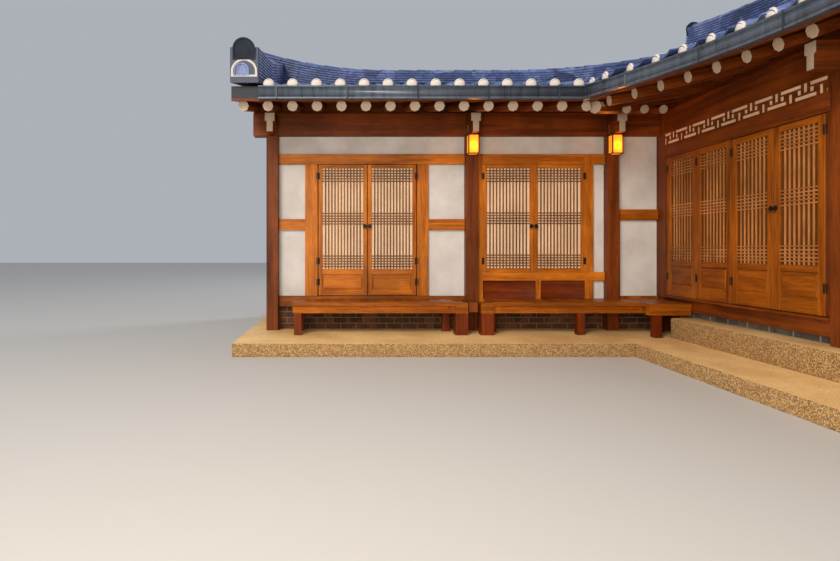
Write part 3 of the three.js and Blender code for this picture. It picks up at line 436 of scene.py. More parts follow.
finish_faces(nodes["back_base"], (brown_mortar,))
finish_faces(nodes["right_base"], (white_mortar,))
draws = random.Random(7)
brick_walls = (((-4.915, 0.03), (-2.51, 0.03)), ((-2.36, 0.03), (-0.698, 0.03)),
               ((-0.548, 0.03), (-0.01, 0.03)), ((0.0, 2.99), (-2.36, 2.99)),
               ((-2.51, 2.99), (-4.915, 2.99)), ((-5.04, 2.92), (-5.04, 0.09)))
brick_places = []
for start, end in brick_walls:
    brick_places += courses(start, end, BRICK_LENGTH, BRICK_COURSE, BRICK_JOINT, draws)
copies_of(unit_of_masonry(BRICK_LENGTH - BRICK_JOINT, BRICK_COURSE - BRICK_JOINT), brick_places,
          "plinth_bricks", (brick,))
block_walls = (((0.10, -0.17), (0.10, -2.64)), ((0.10, -2.81), (0.10, -5.28)), ((0.16, -5.44), (2.92, -5.44)),
               ((2.99, -5.28), (2.99, -2.81)), ((2.99, -2.64), (2.99, -0.17)), ((2.99, 0.0), (2.99, 2.92)),
               ((2.92, 2.99), (0.15, 2.99)))
block_places = []
for start, end in block_walls:
    block_places += courses(start, end, BLOCK_LENGTH, BLOCK_COURSE, BLOCK_JOINT, draws)
copies_of(unit_of_masonry(BLOCK_LENGTH - BLOCK_JOINT, BLOCK_COURSE - BLOCK_JOINT), block_places,
          "plinth_blocks", (block,))


# Timber frame
# Posts, sills, rails, crossbeams, purlins and king posts are planed pine joined by mortise and tenon.
# They are oiled to a reddish brown, with the grain along each member; their dark tone is partly painted shade
# from the deep eaves over them.
TIMBER_DARK = (0.080, 0.018, 0.003, 1)
TIMBER_LIGHT = (0.26, 0.060, 0.008, 1)
BEAM_EASE = 0.006
POST_EASE = 0.005
GRAIN_STRETCH = 0.06
SPLIT = 0.00001


def timber(name, dark, light, axis, gloss):
    """Planed pine with its grain along one axis of the house."""
    finish = material(name, light, gloss)
    stretch = [1.0, 1.0, 1.0]
    stretch[axis] = GRAIN_STRETCH
    place = place_in(finish, stretch)
    figure = noise(finish, place, 9.0, 4.0, 0.6, 0.9)
    fibres = noise(finish, place, 120.0, 3.0, 0.6, 0.2)
    weather = noise(finish, place_in(finish), 1.3, 3.0, 0.6)
    middle = tuple((a + b) / 2 for a, b in zip(dark, light))
    body = tones(finish, figure, ((0.3, dark), (0.5, middle), (0.68, light)))
    lines = tones(finish, fibres, ((0.32, (0.55, 0.5, 0.45, 1)), (0.55, (1, 1, 1, 1))))
    spread = tones(finish, weather, ((0.35, (0.72, 0.7, 0.68, 1)), (0.65, (1.15, 1.12, 1.1, 1))))
    colour = mixed(finish, 1.0, mixed(finish, 0.8, body, lines, "MULTIPLY"), spread, "MULTIPLY")
    rough = within(finish, fibres, 0.3, 0.7, gloss - 0.08, gloss + 0.16)
    finish.node_tree.nodes["Principled BSDF"].inputs["Specular IOR Level"].default_value = 0.16
    return wire(finish, colour, rough, fibres, 0.0015, 0.55)


def timber_three_ways(name, dark, light, gloss=0.42):
    """The same pine with its grain along x, along y and along z."""
    return [timber(f"{name} along {letter}", dark, light, axis, gloss) for axis, letter in enumerate("xyz")]


def along_grain(piece):
    """Chooses the finish whose grain runs along the longest side of a face."""
    points = piece.data.vertices

    def pick(face):
        spans = []
        for axis in range(3):
            places = [points[number].co[axis] for number in face.vertices]
            spans.append(max(places) - min(places))
        return spans.index(max(spans))
    return pick


def member(name, node, finishes, ease, body="house", joints=()):
    """A timber piece or frame in a node's place. joints are the planes, an axis and a place on it,
    where its members meet, so that each has its own grain."""
    piece = dressed(name, node, finishes, 0, body)
    shape = bmesh.new()
    shape.from_mesh(piece.data)
    for axis, at in joints:
        normal = [0, 0, 0]
        normal["xyz".index(axis)] = 1
        point = [at * part for part in normal]
        bmesh.ops.bisect_plane(shape, geom=shape.verts[:] + shape.edges[:] + shape.faces[:], dist=SPLIT,
                               plane_co=point, plane_no=normal)
    shape.to_mesh(piece.data)
    shape.free()
    finish_faces(piece, finishes, along_grain(piece))
    select_only(piece)
    ease_edges(piece, ease)
    bpy.ops.object.shade_smooth_by_angle(angle=math.radians(40))
    return piece


dark_timber = timber_three_ways("dark timber", TIMBER_DARK, TIMBER_LIGHT)
for number in (1, 2, 3):
    member(f"front_post_{number}_timber", f"front_post_{number}", dark_timber, POST_EASE)
for post in ("corner_post", "near_post", "end_post"):
    member(post + "_timber", post, dark_timber, POST_EASE, joints=(("y", -0.17), ("y", -2.64)))
for beam in ("back_front_beam", "right_front_beam", "back_truss", "right_truss"):
    member(beam + "_timber", beam, dark_timber, BEAM_EASE)
member("rear_frame_timber", "rear_frame", dark_timber, POST_EASE)
member("outer_frame_timber", "outer_frame", dark_timber, POST_EASE)


# Bay frames
# Lintels, jambs and rails of the back wing's bays are lighter, honey-coloured pine, let in between the
# posts. The door sill and the end bay's frame are darker amber, and the apron under the window is russet.
# The right wing's sill and lintel are as dark as its posts.
HONEY_DARK = (0.26, 0.060, 0.004, 1)
HONEY_LIGHT = (0.72, 0.225, 0.016, 1)
RUSSET_DARK = (0.075, 0.011, 0.0015, 1)
RUSSET_LIGHT = (0.24, 0.042, 0.004, 1)
AMBER_DARK = (0.15, 0.034, 0.002, 1)
AMBER_LIGHT = (0.46, 0.130, 0.008, 1)
FRAME_EASE = 0.004
APRON_LOW, APRON_HIGH, APRON_FACE = 0.55, 0.783, -0.03

honey_timber = timber_three_ways("honey timber", HONEY_DARK, HONEY_LIGHT, 0.36)
russet_timber = timber_three_ways("russet timber", RUSSET_DARK, RUSSET_LIGHT, 0.38)
amber_timber = timber_three_ways("amber timber", AMBER_DARK, AMBER_LIGHT, 0.36)
member("door_sill_timber", "door_sill", amber_timber, FRAME_EASE)
member("door_lintel_timber", "door_lintel", honey_timber, FRAME_EASE)
for side, at in (("left", -4.575), ("right", -2.981)):
    member(f"door_jamb_{side}_timber", f"door_jamb_{side}", honey_timber, FRAME_EASE, joints=(("x", at),))
window_joints = [("x", at) for at in (-2.275, -0.96, -0.847)]
window_joints += [("z", at) for at in (APRON_LOW, APRON_HIGH, 0.894, 2.29)]
window_frame = member("window_frame_timber", "window_frame", honey_timber, FRAME_EASE, joints=window_joints)
for finish in russet_timber:
    window_frame.data.materials.append(finish)
for face in window_frame.data.polygons:
    if face.center.y > APRON_FACE and APRON_LOW < face.center.z < APRON_HIGH:
        face.material_index += len(honey_timber)
member("end_bay_frame_timber", "end_bay_frame", amber_timber, FRAME_EASE,
       joints=(("z", 0.55), ("z", 1.566), ("z", 1.706)))
member("right_door_sill_timber", "right_door_sill", dark_timber, FRAME_EASE, joints=(("z", 0.587),))
member("right_door_lintel_timber", "right_door_lintel", dark_timber, FRAME_EASE, joints=(("z", 2.50),))


# Plaster walls
# White lime plaster on a wattle core, let in between the timbers. It is slightly clouded, as a trowel
# leaves it.
PLASTER_LIGHT = (0.66, 0.635, 0.62, 1)
PLASTER_DARK = (0.53, 0.50, 0.47, 1)
PLASTER_WALLS = ("rear_wall", "outer_wall", "left_gable_wall", "near_gable_wall", "wall_left_of_door",
                 "wall_right_of_door", "wall_over_door", "window_bay_wall", "end_bay_wall")

plaster = material("white lime plaster", PLASTER_LIGHT, 0.92)
trowelled = noise(plaster, place_in(plaster), 2.2, 5.0, 0.6)
sand = noise(plaster, place_in(plaster), 130.0, 3.0, 0.6)
plaster_tone = tones(plaster, trowelled, ((0.34, PLASTER_DARK), (0.6, PLASTER_LIGHT)))
wire(plaster, plaster_tone, None, sand, 0.0015, 0.35)
for wall in PLASTER_WALLS:
    finish_faces(nodes[wall], (plaster,))


# Door and window leaves
# Each leaf is a frame of stiles and rails, and door leaves have a raised panel at their foot. Above it,
# thin bars cross in three bands in front of paper that is glued to their inner side.
LEAF_THICK = 0.036
LEAF_FACE = -0.04
LEAF_EASE = 0.0025
BAR_EASE = 0.0015
BACK_LATTICE = (0.050, 13)
RIGHT_LATTICE = (0.074, 8)
BAR_WIDE = 0.015
BAR_DEEP = 0.013
BAR_SET_BACK = 0.006
BAND_BARS = 5
BAND_STEP = 0.034
BAR_DARK = (0.11, 0.042, 0.014, 1)
BAR_LIGHT = (0.29, 0.125, 0.048, 1)
# The right wing's bars are a lighter tan than its frame: partly the wood's tone, partly a painted highlight
# of light catching the bars.
HIGHLIT_BAR_DARK = (0.28, 0.10, 0.024, 1)
HIGHLIT_BAR_LIGHT = (0.62, 0.27, 0.09, 1)
PAPER_COLOUR = (0.80, 0.58, 0.40, 1)
PAPER_FIBRE = (0.70, 0.49, 0.33, 1)
PAPER_GLOW = (1.0, 0.62, 0.36, 1)
# Paper of the right wing's leaves, much darker: painted shade of the deep eaves over that wing.
PAPER_PAINTED_SHADE = (0.13, 0.044, 0.006, 1)
FIBRE_PAINTED_SHADE = (0.09, 0.029, 0.004, 1)

paper = material("backed paper", PAPER_COLOUR, 0.9)
fibre_place = place_in(paper)
paper_fibres = noise(paper, fibre_place, 55.0, 6.0, 0.7, 1.2)
paper_clouds = noise(paper, fibre_place, 3.0, 2.0, 0.5)
paper_body = tones(paper, paper_fibres, ((0.35, PAPER_FIBRE), (0.6, PAPER_COLOUR)))
paper_tone = tones(paper, paper_clouds, ((0.35, (0.86, 0.84, 0.8, 1)), (0.65, (1.05, 1.04, 1.02, 1))))
wire(paper, mixed(paper, 1.0, paper_body, paper_tone, "MULTIPLY"), None, paper_fibres, 0.0006, 0.4)
# The paper glows faintly warm: painted light that stands for lamplight in the rooms behind it.
paper_shader = paper.node_tree.nodes["Principled BSDF"]
paper_shader.inputs["Emission Color"].default_value = PAPER_GLOW
paper_shader.inputs["Emission Strength"].default_value = 0.05
# A copy of the paper darkened with painted shade, and without its glow, for the right wing's leaves.
painted_shade_paper = paper.copy()
painted_shade_paper.name = "paper in the shade"
for node in painted_shade_paper.node_tree.nodes:
    if node.type == "VALTORGB" and node.color_ramp.elements[1].color[0] < 1.0:
        node.color_ramp.elements[0].color = FIBRE_PAINTED_SHADE
        node.color_ramp.elements[1].color = PAPER_PAINTED_SHADE
painted_shade_paper_shader = painted_shade_paper.node_tree.nodes["Principled BSDF"]
painted_shade_paper_shader.inputs["Emission Strength"].default_value = 0.0
painted_shade_paper_shader.inputs["Specular IOR Level"].default_value = 0.1
bar_timber = timber_three_ways("lattice timber", BAR_DARK, BAR_LIGHT, 0.45)
# The tan lattice carries a painted highlight on top of its wood tone.
highlit_tan_bar_timber = timber_three_ways("tan lattice timber", HIGHLIT_BAR_DARK, HIGHLIT_BAR_LIGHT, 0.45)


def chamfer_all(width):
    """Cuts a narrow chamfer along every edge of the active piece."""
    bpy.ops.object.mode_set(mode="EDIT")
    bpy.ops.mesh.select_all(action="SELECT")
    bpy.ops.mesh.bevel(offset=width, segments=1, affect="EDGES")
    bpy.ops.object.mode_set(mode="OBJECT")


def block_between(left, right, front, back, low, high):
    """A box given by its six sides."""
    return fresh_box((right - left, back - front, high - low),
                     ((left + right) / 2, (front + back) / 2, (low + high) / 2))


def stick(left, right, front, back, low, high, ease, parts):
    """One straight timber with eased edges, added to the parts of its piece."""
    parts.append(block_between(left, right, front, back, low, high))
    chamfer_all(ease)


def raised_panel(left, right, front, back, low, high, parts):
    """The foot panel: a board whose middle field stands up from bevelled margins."""
    board = block_between(left, right, front, back, low, high)
    edit_faces(board, lambda middle, normal: normal.y < -0.9)
    bpy.ops.mesh.inset(thickness=0.014)
    bpy.ops.mesh.inset(thickness=0.016, depth=0.008)
    bpy.ops.object.mode_set(mode="OBJECT")
    parts.append(board)


def joined(parts, name, place, finishes, body, choose=None):
    """Joins the parts of a piece, moves them to their place and gives them their finishes. choose(piece)
    gives the function that picks the finish of each face."""
    piece = join_all(parts)
    piece.data.transform(place)
    piece.data.update()
    finish_faces(piece, finishes, choose(piece) if choose else None)
    return finished(piece, name, finishes, body)


def leaf(name, place, body, width, height, field, panel, lattice, finishes, node):
    """One leaf, modelled with its left front edge at x = 0, y = 0, and moved to its place. height, field
    and panel each have a low and a high end. lattice is the width of its stiles and the count of gaps
    between its bars. finishes are those of its frame, its bars and its paper."""
    parts = []
    low, high = height
    stile, cells = lattice
    frame_timber, lattice_timber, backing = finishes
    inner, outer = stile, width - stile
    stick(0, stile, 0, LEAF_THICK, low, high, LEAF_EASE, parts)
    stick(outer, width, 0, LEAF_THICK, low, high, LEAF_EASE, parts)
    rails = [(low, panel[0]), (panel[1], field[0])] if panel else [(low, field[0])]
    for rail_low, rail_high in (*rails, (field[1], high)):
        stick(inner - 0.001, outer + 0.001, 0.0015, LEAF_THICK - 0.001, rail_low, rail_high, LEAF_EASE, parts)
    if panel:
        raised_panel(inner - 0.002, outer + 0.002, 0.014, 0.026, panel[0] - 0.002, panel[1] + 0.002, parts)
    bars = []
    step = (outer - inner) / cells
    front, back = BAR_SET_BACK, BAR_SET_BACK + BAR_DEEP
    for number in range(1, cells):
        middle = inner + number * step
        stick(middle - BAR_WIDE / 2, middle + BAR_WIDE / 2, front + 0.001, back, *field, BAR_EASE, bars)
    middle_band = (field[0] + field[1]) / 2
    half = (BAND_BARS - 1) / 2 * BAND_STEP
    for band in (field[1] - BAND_STEP - half, middle_band, field[0] + BAND_STEP + half):
        for number in range(BAND_BARS):
            level = band + (number - (BAND_BARS - 1) / 2) * BAND_STEP
            bottom, top = level - BAR_WIDE * 0.42, level + BAR_WIDE * 0.42
            stick(inner, outer, front, back - 0.001, bottom, top, BAR_EASE, bars)
    wood = joined(parts, name + "_frame", place, frame_timber, body, along_grain)
    joined(bars, name + "_bars", place, lattice_timber, body, along_grain)
    sheet = fresh_box((outer - inner + 0.004, 0.002, field[1] - field[0] + 0.004),
                      (width / 2, back + 0.001, (field[0] + field[1]) / 2))
    bpy.ops.object.mode_set(mode="EDIT")
    bpy.ops.mesh.select_all(action="SELECT")
    bpy.ops.mesh.subdivide(number_cuts=3)
    bpy.ops.object.mode_set(mode="OBJECT")
    joined([sheet], name + "_paper", place, (backing,), body)
    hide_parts(node)


DOOR_FIELD = (0.933, 2.240)
DOOR_PANEL = (0.655, 0.862)
DOOR_HEIGHT = (0.593, 2.284)
DOOR_WIDE = 0.6285
back_finishes = (honey_timber, bar_timber, paper)
for side, left in (("left", -4.402), ("right", -3.7655)):
    leaf(f"door_leaf_{side}", Matrix.Translation((left, LEAF_FACE, 0)), f"door_leaf_{side}", DOOR_WIDE,
         DOOR_HEIGHT, DOOR_FIELD, DOOR_PANEL, BACK_LATTICE, back_finishes, f"door_leaf_{side}")
WINDOW_FIELD = (0.945, 2.240)
WINDOW_HEIGHT = (0.896, 2.288)
WINDOW_WIDE = 0.6555
for side, left in (("left", -2.275), ("right", -1.6155)):
    leaf(f"window_leaf_{side}", Matrix.Translation((left, LEAF_FACE, 0)), "house", WINDOW_WIDE,
         WINDOW_HEIGHT, WINDOW_FIELD, None, BACK_LATTICE, back_finishes, "window_leaves")
RIGHT_FIELD = (1.045, 2.275)
RIGHT_PANEL = (0.745, 0.985)
FOLDING_HEIGHT, HINGED_HEIGHT = (0.613, 2.339), (0.618, 2.334)
FOLDING_WIDE, HINGED_WIDE = 0.588, 0.576
facing_courtyard = Matrix.Rotation(math.radians(-90), 4, "Z")


def right_wing_leaf(name, left, body, width, height, node):
    """A leaf of the right wing, which faces the courtyard."""
    leaf(name, Matrix.Translation((0, left, 0)) @ facing_courtyard, body, width, height, RIGHT_FIELD,
         RIGHT_PANEL, RIGHT_LATTICE, (amber_timber, highlit_tan_bar_timber, painted_shade_paper), node)


for number, left in enumerate((-0.231, -0.821)):
    right_wing_leaf(f"right_leaf_{number + 1}", left, "house", FOLDING_WIDE, FOLDING_HEIGHT,
                    "right_folding_leaves")
for side, left in (("far", -1.420), ("near", -2.004)):
    right_wing_leaf("right_leaf_" + side, left, "right_leaf_" + side, HINGED_WIDE, HINGED_HEIGHT,
                    "right_leaf_" + side)


# Second bay of the right wing
# The next bay has the same four leaves, shut, in a sill, ledge, jambs, lintel and transom board of oiled
# pine that are pegged between the two posts.
SCREEN_NEAR, SCREEN_FAR = -5.279, -2.811
SCREEN_LEAF = 0.5925
JAMB_WIDE = 0.05
JAMB_LOW, JAMB_HIGH = 0.61, 2.342


def bay_timber(front, back, low, high, near=SCREEN_NEAR, far=SCREEN_FAR):
    """One timber of the bay's frame, with eased edges."""
    stick(front, back, near, far, low, high, FRAME_EASE, screen_parts)


screen_parts = []
bay_timber(0, 0.0995, 0.4505, 0.55)  # beam on the plinth
bay_timber(0, 0.17, 0.551, 0.587)  # sill
bay_timber(-0.04, 0.10, 0.587, 0.612)  # ledge
bay_timber(-0.01, 0.10, 2.34, 2.50)  # lintel
bay_timber(0.014, 0.04, 2.498, 2.635)  # transom board
bay_timber(0, 0.06, 2.63, 2.6495)  # rail under the wing's beam
bay_timber(0, 0.10, JAMB_LOW, JAMB_HIGH, SCREEN_FAR - JAMB_WIDE, SCREEN_FAR)
bay_timber(0, 0.10, JAMB_LOW, JAMB_HIGH, SCREEN_NEAR, SCREEN_NEAR + JAMB_WIDE)
screen_frame = joined(screen_parts, "second_bay_frame", Matrix.Identity(4), dark_timber, "house", along_grain)
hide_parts("second_bay_screen")
for number in range(4):
    left = SCREEN_FAR - JAMB_WIDE - 0.001 - number * SCREEN_LEAF
    right_wing_leaf(f"second_bay_leaf_{number + 1}", left, "house", SCREEN_LEAF - 0.002, FOLDING_HEIGHT,
                    "second_bay_screen")


# Roof tiles
# Slate-blue fired clay tiles lie on an earth bed: broad hollow tiles lap each other up the slope, and
# narrow rows of round cap tiles cover the joints between them. Where four slopes meet they are cut.
EAVE, RIDGE_LINE, DEPTH = 1.05, 1.5, 3.0
EAVE_TOP, WALL_TOP, BACK_TOP, RIGHT_TOP = 3.040, 3.286, 3.760, 4.090
EAVE_CROWN, EAVE_BEND, BEND_MIDDLE = -0.649, 0.101, -3.9
BEHIND_GUTTER = 0.0703
VALLEY_X = -1.399
VALLEY_LOW = 0.7505
VALLEY_HIGH = 1.675
ROW_STEP = 0.266
FIRST_ROW_X, LAST_ROW_X = -4.904, 0.80
NEAR_ROW_Y, FAR_ROW = -5.28, 4.0
FIRST_REAR_ROW_X = 0.13
VALLEY_GAP = 0.07
HIP_GAP = 0.12
SHORTEST_ROW = 0.15
CAP_RADIUS = 0.058
CAP_LENGTH = 0.30
PAN_LENGTH = 0.20
PAN_WIDTH = 0.225
CAP_SUNK = 0.018
BED_SUNK = 0.036
RIDGE_HALF = 0.10
# The tile bed's dark slate tone is partly painted shadow, standing for the shaded ends of the hollow tiles
# between the eave plugs.
BED_CLAY_PAINTED_SHADE = (0.055, 0.060, 0.075, 1)
TILE_TONES = ((0.0, (0.028, 0.042, 0.110, 1)), (0.45, (0.070, 0.108, 0.280, 1)),
              (0.8, (0.135, 0.195, 0.440, 1)), (1.0, (0.27, 0.33, 0.56, 1)))


def fired_tile(name, stops, gloss):
    """Smoked clay: each tile has its own tone, with pale bloom and darker weather stains."""
    finish = material(name, stops[1][1], gloss)
    place = place_in(finish)
    units = add_node(finish, "ShaderNodeTexVoronoi", Vector=place, Scale=3.6)
    unit = add_node(finish, "ShaderNodeSeparateColor", Color=units.outputs["Color"]).outputs["Green"]
    bloom = noise(finish, place, 14.0, 6.0, 0.65)
    speck = noise(finish, place, 150.0, 2.0, 0.5)
    tone = add_node(finish, "ShaderNodeMath", {"operation": "MULTIPLY_ADD"})
    finish.node_tree.links.new(unit, tone.inputs[0])
    tone.inputs[1].default_value = 0.45
    finish.node_tree.links.new(bloom, tone.inputs[2])
    body = tones(finish, within(finish, tone.outputs["Value"], 0.35, 1.05), stops)
    rough = within(finish, bloom, 0.3, 0.7, gloss - 0.1, gloss + 0.2)
    return wire(finish, body, rough, speck, 0.001, 0.4)


def curved_eave(y):
    """Distance of the courtyard eave of the right wing along x, which bends in plan."""
    return EAVE_CROWN - EAVE_BEND * max(0.4, abs(min(y, -EAVE) - BEND_MIDDLE)) ** 2 + BEHIND_GUTTER


def roof_height(distance, overhang, ridge_top):
    """Height of the tile bed, a distance inside the wall line (outside it if negative)."""
    if distance < 0:
        return WALL_TOP + (WALL_TOP - EAVE_TOP) * distance / overhang
    return WALL_TOP + (ridge_top - WALL_TOP) * distance / RIDGE_LINE


def up_slope(start, end, overhang, ridge_top, to_plan):
    """The points of a row of tiles from start to end, distances inside the wall line."""
    stops = [start] + ([0.0] if start < 0 < end else []) + [end]
    return [Vector((*to_plan(stop), roof_height(stop, overhang, ridge_top))) for stop in stops]


def tile_rows():
    """The rows of cap tiles, as points up each slope. Rows end at the valleys, hips and ridges."""
    rows = []
    ridge_foot = RIDGE_LINE - RIDGE_HALF
    x = FIRST_ROW_X
    while x < LAST_ROW_X:
        lower = -EAVE if x < VALLEY_X else (VALLEY_LOW if x < 0 else VALLEY_HIGH) * x + VALLEY_GAP
        rows.append(("back", up_slope(lower, ridge_foot, EAVE, BACK_TOP, lambda d, x=x: (x, d))))
        lower = -EAVE if x < 0 else VALLEY_HIGH * x + VALLEY_GAP
        rows.append(("back", up_slope(lower, ridge_foot, EAVE, BACK_TOP, lambda d, x=x: (x, DEPTH - d))))
        x += ROW_STEP
    y = NEAR_ROW_Y
    while y < FAR_ROW:
        hip = min(ridge_foot, DEPTH - y - HIP_GAP)
        lower = curved_eave(y)
        if y > -EAVE:
            lower = (y / VALLEY_LOW if y < 0 else min(y, DEPTH - y) / VALLEY_HIGH) + VALLEY_GAP
        if hip - lower > SHORTEST_ROW:
            rows.append(("right", up_slope(lower, hip, -curved_eave(y), RIGHT_TOP, lambda d, y=y: (d, y))))
        if hip + EAVE > SHORTEST_ROW:
            rows.append(("right", up_slope(-EAVE, hip, EAVE, RIGHT_TOP, lambda d, y=y: (DEPTH - d, y))))
        y += ROW_STEP
    x = FIRST_REAR_ROW_X
    while x < FAR_ROW:
        hip = min(x, DEPTH - x) - HIP_GAP
        if hip + EAVE > SHORTEST_ROW:
            rows.append(("right", up_slope(-EAVE, hip, EAVE, RIGHT_TOP, lambda d, x=x: (x, DEPTH - d))))
        x += ROW_STEP
    return rows


def up_the_row(points, step, lift):
    """A place for each tile up a row: y runs up the slope and z away from the roof."""
    places = []
    for low, high in zip(points, points[1:]):
        climb = high - low
        count = max(1, round(climb.length / step))
        up = climb.normalized()
        side = up.cross(Vector((0, 0, 1))).normalized()
        normal = side.cross(up)
        turn = Matrix((side, up * (climb.length / count / step), normal)).transposed().to_4x4()
        for number in range(count):
            places.append(Matrix.Translation(low + climb * (number / count) + normal * lift) @ turn)
    return places


def cap_tile(radius, length, sides=12):
    """A round cap tile lying along y, tapered so that its upper end slips under the next."""
    bpy.ops.object.select_all(action="DESELECT")
    bpy.ops.mesh.primitive_cylinder_add(vertices=sides, radius=radius, depth=length + 0.02,
                                        rotation=(math.radians(90), 0, 0))
    bpy.ops.object.transform_apply(location=False, rotation=True, scale=False)
    tile = bpy.context.object
    bpy.ops.object.mode_set(mode="EDIT")
    bpy.ops.mesh.select_all(action="SELECT")
    bpy.ops.mesh.bisect(plane_co=(0, 0, 0), plane_no=(0, 0, 1), clear_inner=True, use_fill=True)
    bpy.ops.object.mode_set(mode="OBJECT")
    for point in tile.data.vertices:
        if point.co.y > 0:
            point.co.x *= 0.86
            point.co.z *= 0.84
        point.co.y += length / 2
    return tile


def pan_tile():
    """A broad hollow tile, its lower end raised on the tile below."""
    bpy.ops.object.select_all(action="DESELECT")
    bpy.ops.mesh.primitive_grid_add(x_subdivisions=4, y_subdivisions=1, size=1)
    tile = bpy.context.object
    for point in tile.data.vertices:
        hollow = 0.034 * (2 * point.co.x) ** 2
        rise = 0.018 if point.co.y < 0 else 0.002
        point.co = (point.co.x * PAN_WIDTH, (point.co.y + 0.5) * (PAN_LENGTH + 0.012), hollow + rise)
    wall = tile.modifiers.new("clay", "SOLIDIFY")
    wall.thickness = 0.014
    wall.offset = -1
    bpy.ops.object.modifier_apply(modifier=wall.name)
    return tile


def underside(face):
    """The second finish for a face that looks down, and the first for any other."""
    return int(face.normal.z < -0.3)


def lower_top(piece, drop):
    """Lowers the upper faces of a bed, to lie under its tiles."""
    for point in [point for point in piece.data.vertices if point.normal.z > 0.2]:
        point.co.z -= drop


slate_tile = fired_tile("slate blue tile", TILE_TONES, 0.38)
rows = tile_rows()
for wing in ("back", "right"):
    wing_rows = [points for name, points in rows if name == wing]
    caps = [place for points in wing_rows for place in up_the_row(points, CAP_LENGTH, -CAP_SUNK)]
    copies_of(cap_tile(CAP_RADIUS, CAP_LENGTH), caps, wing + "_cap_tiles", (slate_tile,))
    bpy.ops.object.shade_smooth_by_angle(angle=math.radians(40))
    pans = []
    for points in wing_rows:
        side = Vector((points[-1] - points[0]).cross(Vector((0, 0, 1)))).normalized() * ROW_STEP / 2
        pans += up_the_row([point + side for point in points], PAN_LENGTH, -BED_SUNK)
    copies_of(pan_tile(), pans, wing + "_pan_tiles", (slate_tile,))
# The bed is clay, darkened with painted shadow where it shows at the eaves.
bed_clay_painted_shade = mortar_finish("tile bed clay with painted shade", BED_CLAY_PAINTED_SHADE)
for wing in ("back", "right"):
    bed = dressed(wing + "_tile_bed", wing + "_roof", (bed_clay_painted_shade, plaster), 0, choose=underside)
    lower_top(bed, BED_SUNK)


# Eave plugs
# The open end of each cap row is stopped with a round plug of white lime mortar, which stands a little
# proud of the eave and bulges where it was smoothed by hand.
PLUG_LIME = (0.80, 0.75, 0.70, 1)
PLUG_RADIUS = 0.062
PLUG_SUNK = 0.008


def eave_plug(radius):
    """A mortar plug that faces -y, domed, cut flat below where it meets the gutter."""
    bpy.ops.object.select_all(action="DESELECT")
    bpy.ops.mesh.primitive_uv_sphere_add(segments=16, ring_count=10, radius=radius)
    plug = bpy.context.object
    plug.scale = (1, 0.45, 0.97)
    bpy.ops.object.transform_apply(location=False, rotation=False, scale=True)
    bpy.ops.object.mode_set(mode="EDIT")
    bpy.ops.mesh.select_all(action="SELECT")
    bpy.ops.mesh.bisect(plane_co=(0, 0, -radius * 0.5), plane_no=(0, 0, 1), clear_inner=True, use_fill=True)
    bpy.ops.object.mode_set(mode="OBJECT")
    return plug


lime_plug = mortar_finish("lime plug", PLUG_LIME)
plugs = []
for wing, points in rows:
    if points[0].z > EAVE_TOP + 0.02:
        continue
    out = (points[0] - points[-1]).normalized()
    out = Vector((out.x, out.y, 0)).normalized()
    turn = Matrix.Rotation(math.atan2(out.x, -out.y), 4, "Z")
    plugs.append(Matrix.Translation(points[0] - out * 0.004 - Vector((0, 0, PLUG_SUNK))) @ turn)
copies_of(eave_plug(PLUG_RADIUS), plugs, "eave_plugs", (lime_plug,))
bpy.ops.object.shade_smooth_by_angle(angle=math.radians(50))


# Ridges
# Along the tops of the roofs thin flat tiles are laid in courses on a bed of dark clay mortar and closed
# with a row of round cap tiles. The stacks rise towards their ends, where an upright tile closes them.
RIDGE_MORTAR = (0.10, 0.12, 0.17, 1)
COURSE_HIGH = 0.036
COURSE_LENGTH = 0.29
MAIN_COURSES, GABLE_COURSES, HIP_COURSES = 18, 9, 5
RIDGE_CAP = 0.078
RIDGE_WIDE, GABLE_WIDE = 0.245, 0.325
LEFT_END, NEAR_END = -5.32, -5.72
INNER_END, REAR_END = 1.22, 1.64
BACK_CREST, RIGHT_CREST = 4.0, 4.4
LEFT_SWEEP, LEFT_SWEEP_LENGTH, LEFT_RISE = -3.4, 1.85, 0.25
INNER_SWEEP = -1.6
RIGHT_HALF, RIGHT_RISE = 3.61, 0.35
PAST_EAVE, NEAR_PAST_EAVE = 0.06, 0.12
GABLE_MIDDLE = 0.155
GABLE_HIGH = 0.40
HIP_HIGH = 0.26


def course_tile(width):
    """A flat ridge tile lying along y, its long sides rounded."""
    tile = fresh_box((width, COURSE_LENGTH - 0.006, COURSE_HIGH - 0.008))
    chamfer_all(0.007)
    tile.data.transform(Matrix.Translation((0, COURSE_LENGTH / 2, 0)))
    return tile


def crest_line(at, start, end, shift):
    """Points along a crest, a course tile apart; at gives the point at a distance along it."""
    length = COURSE_LENGTH if end > start else -COURSE_LENGTH
    count = max(1, int(abs(end - start) / COURSE_LENGTH - shift))
    stops = [start] + [start + length * (number + shift) for number in range(1, count + 1)] + [end]
    return [at(stop) for stop in stops]


def ridge_courses(crests, count, width, name, seats=None):
    """Courses of flat tiles under a row of cap tiles. Each crest is (at, start, end). seats are the
    heights of the roof tops that the ridges stand on, which no tile lies under."""
    flat, caps = [], []
    for number, (at, start, end) in enumerate(crests):
        for course in range(count):
            lower = RIDGE_CAP * 0.8 + (course + 0.5) * COURSE_HIGH
            line = crest_line(at, start, end, 0.5 if course % 2 else 0.0)
            laid = up_the_row(line, COURSE_LENGTH, -lower)
            flat += [place for place in laid if not seats or place.translation.z > seats[number]]
        caps += up_the_row(crest_line(at, start, end, 0.25), COURSE_LENGTH, -RIDGE_CAP)
    copies_of(course_tile(width), flat, name + "_courses", (slate_tile,))
    copies_of(cap_tile(RIDGE_CAP, COURSE_LENGTH), caps, name + "_caps", (slate_tile,))
    bpy.ops.object.shade_smooth_by_angle(angle=math.radians(40))


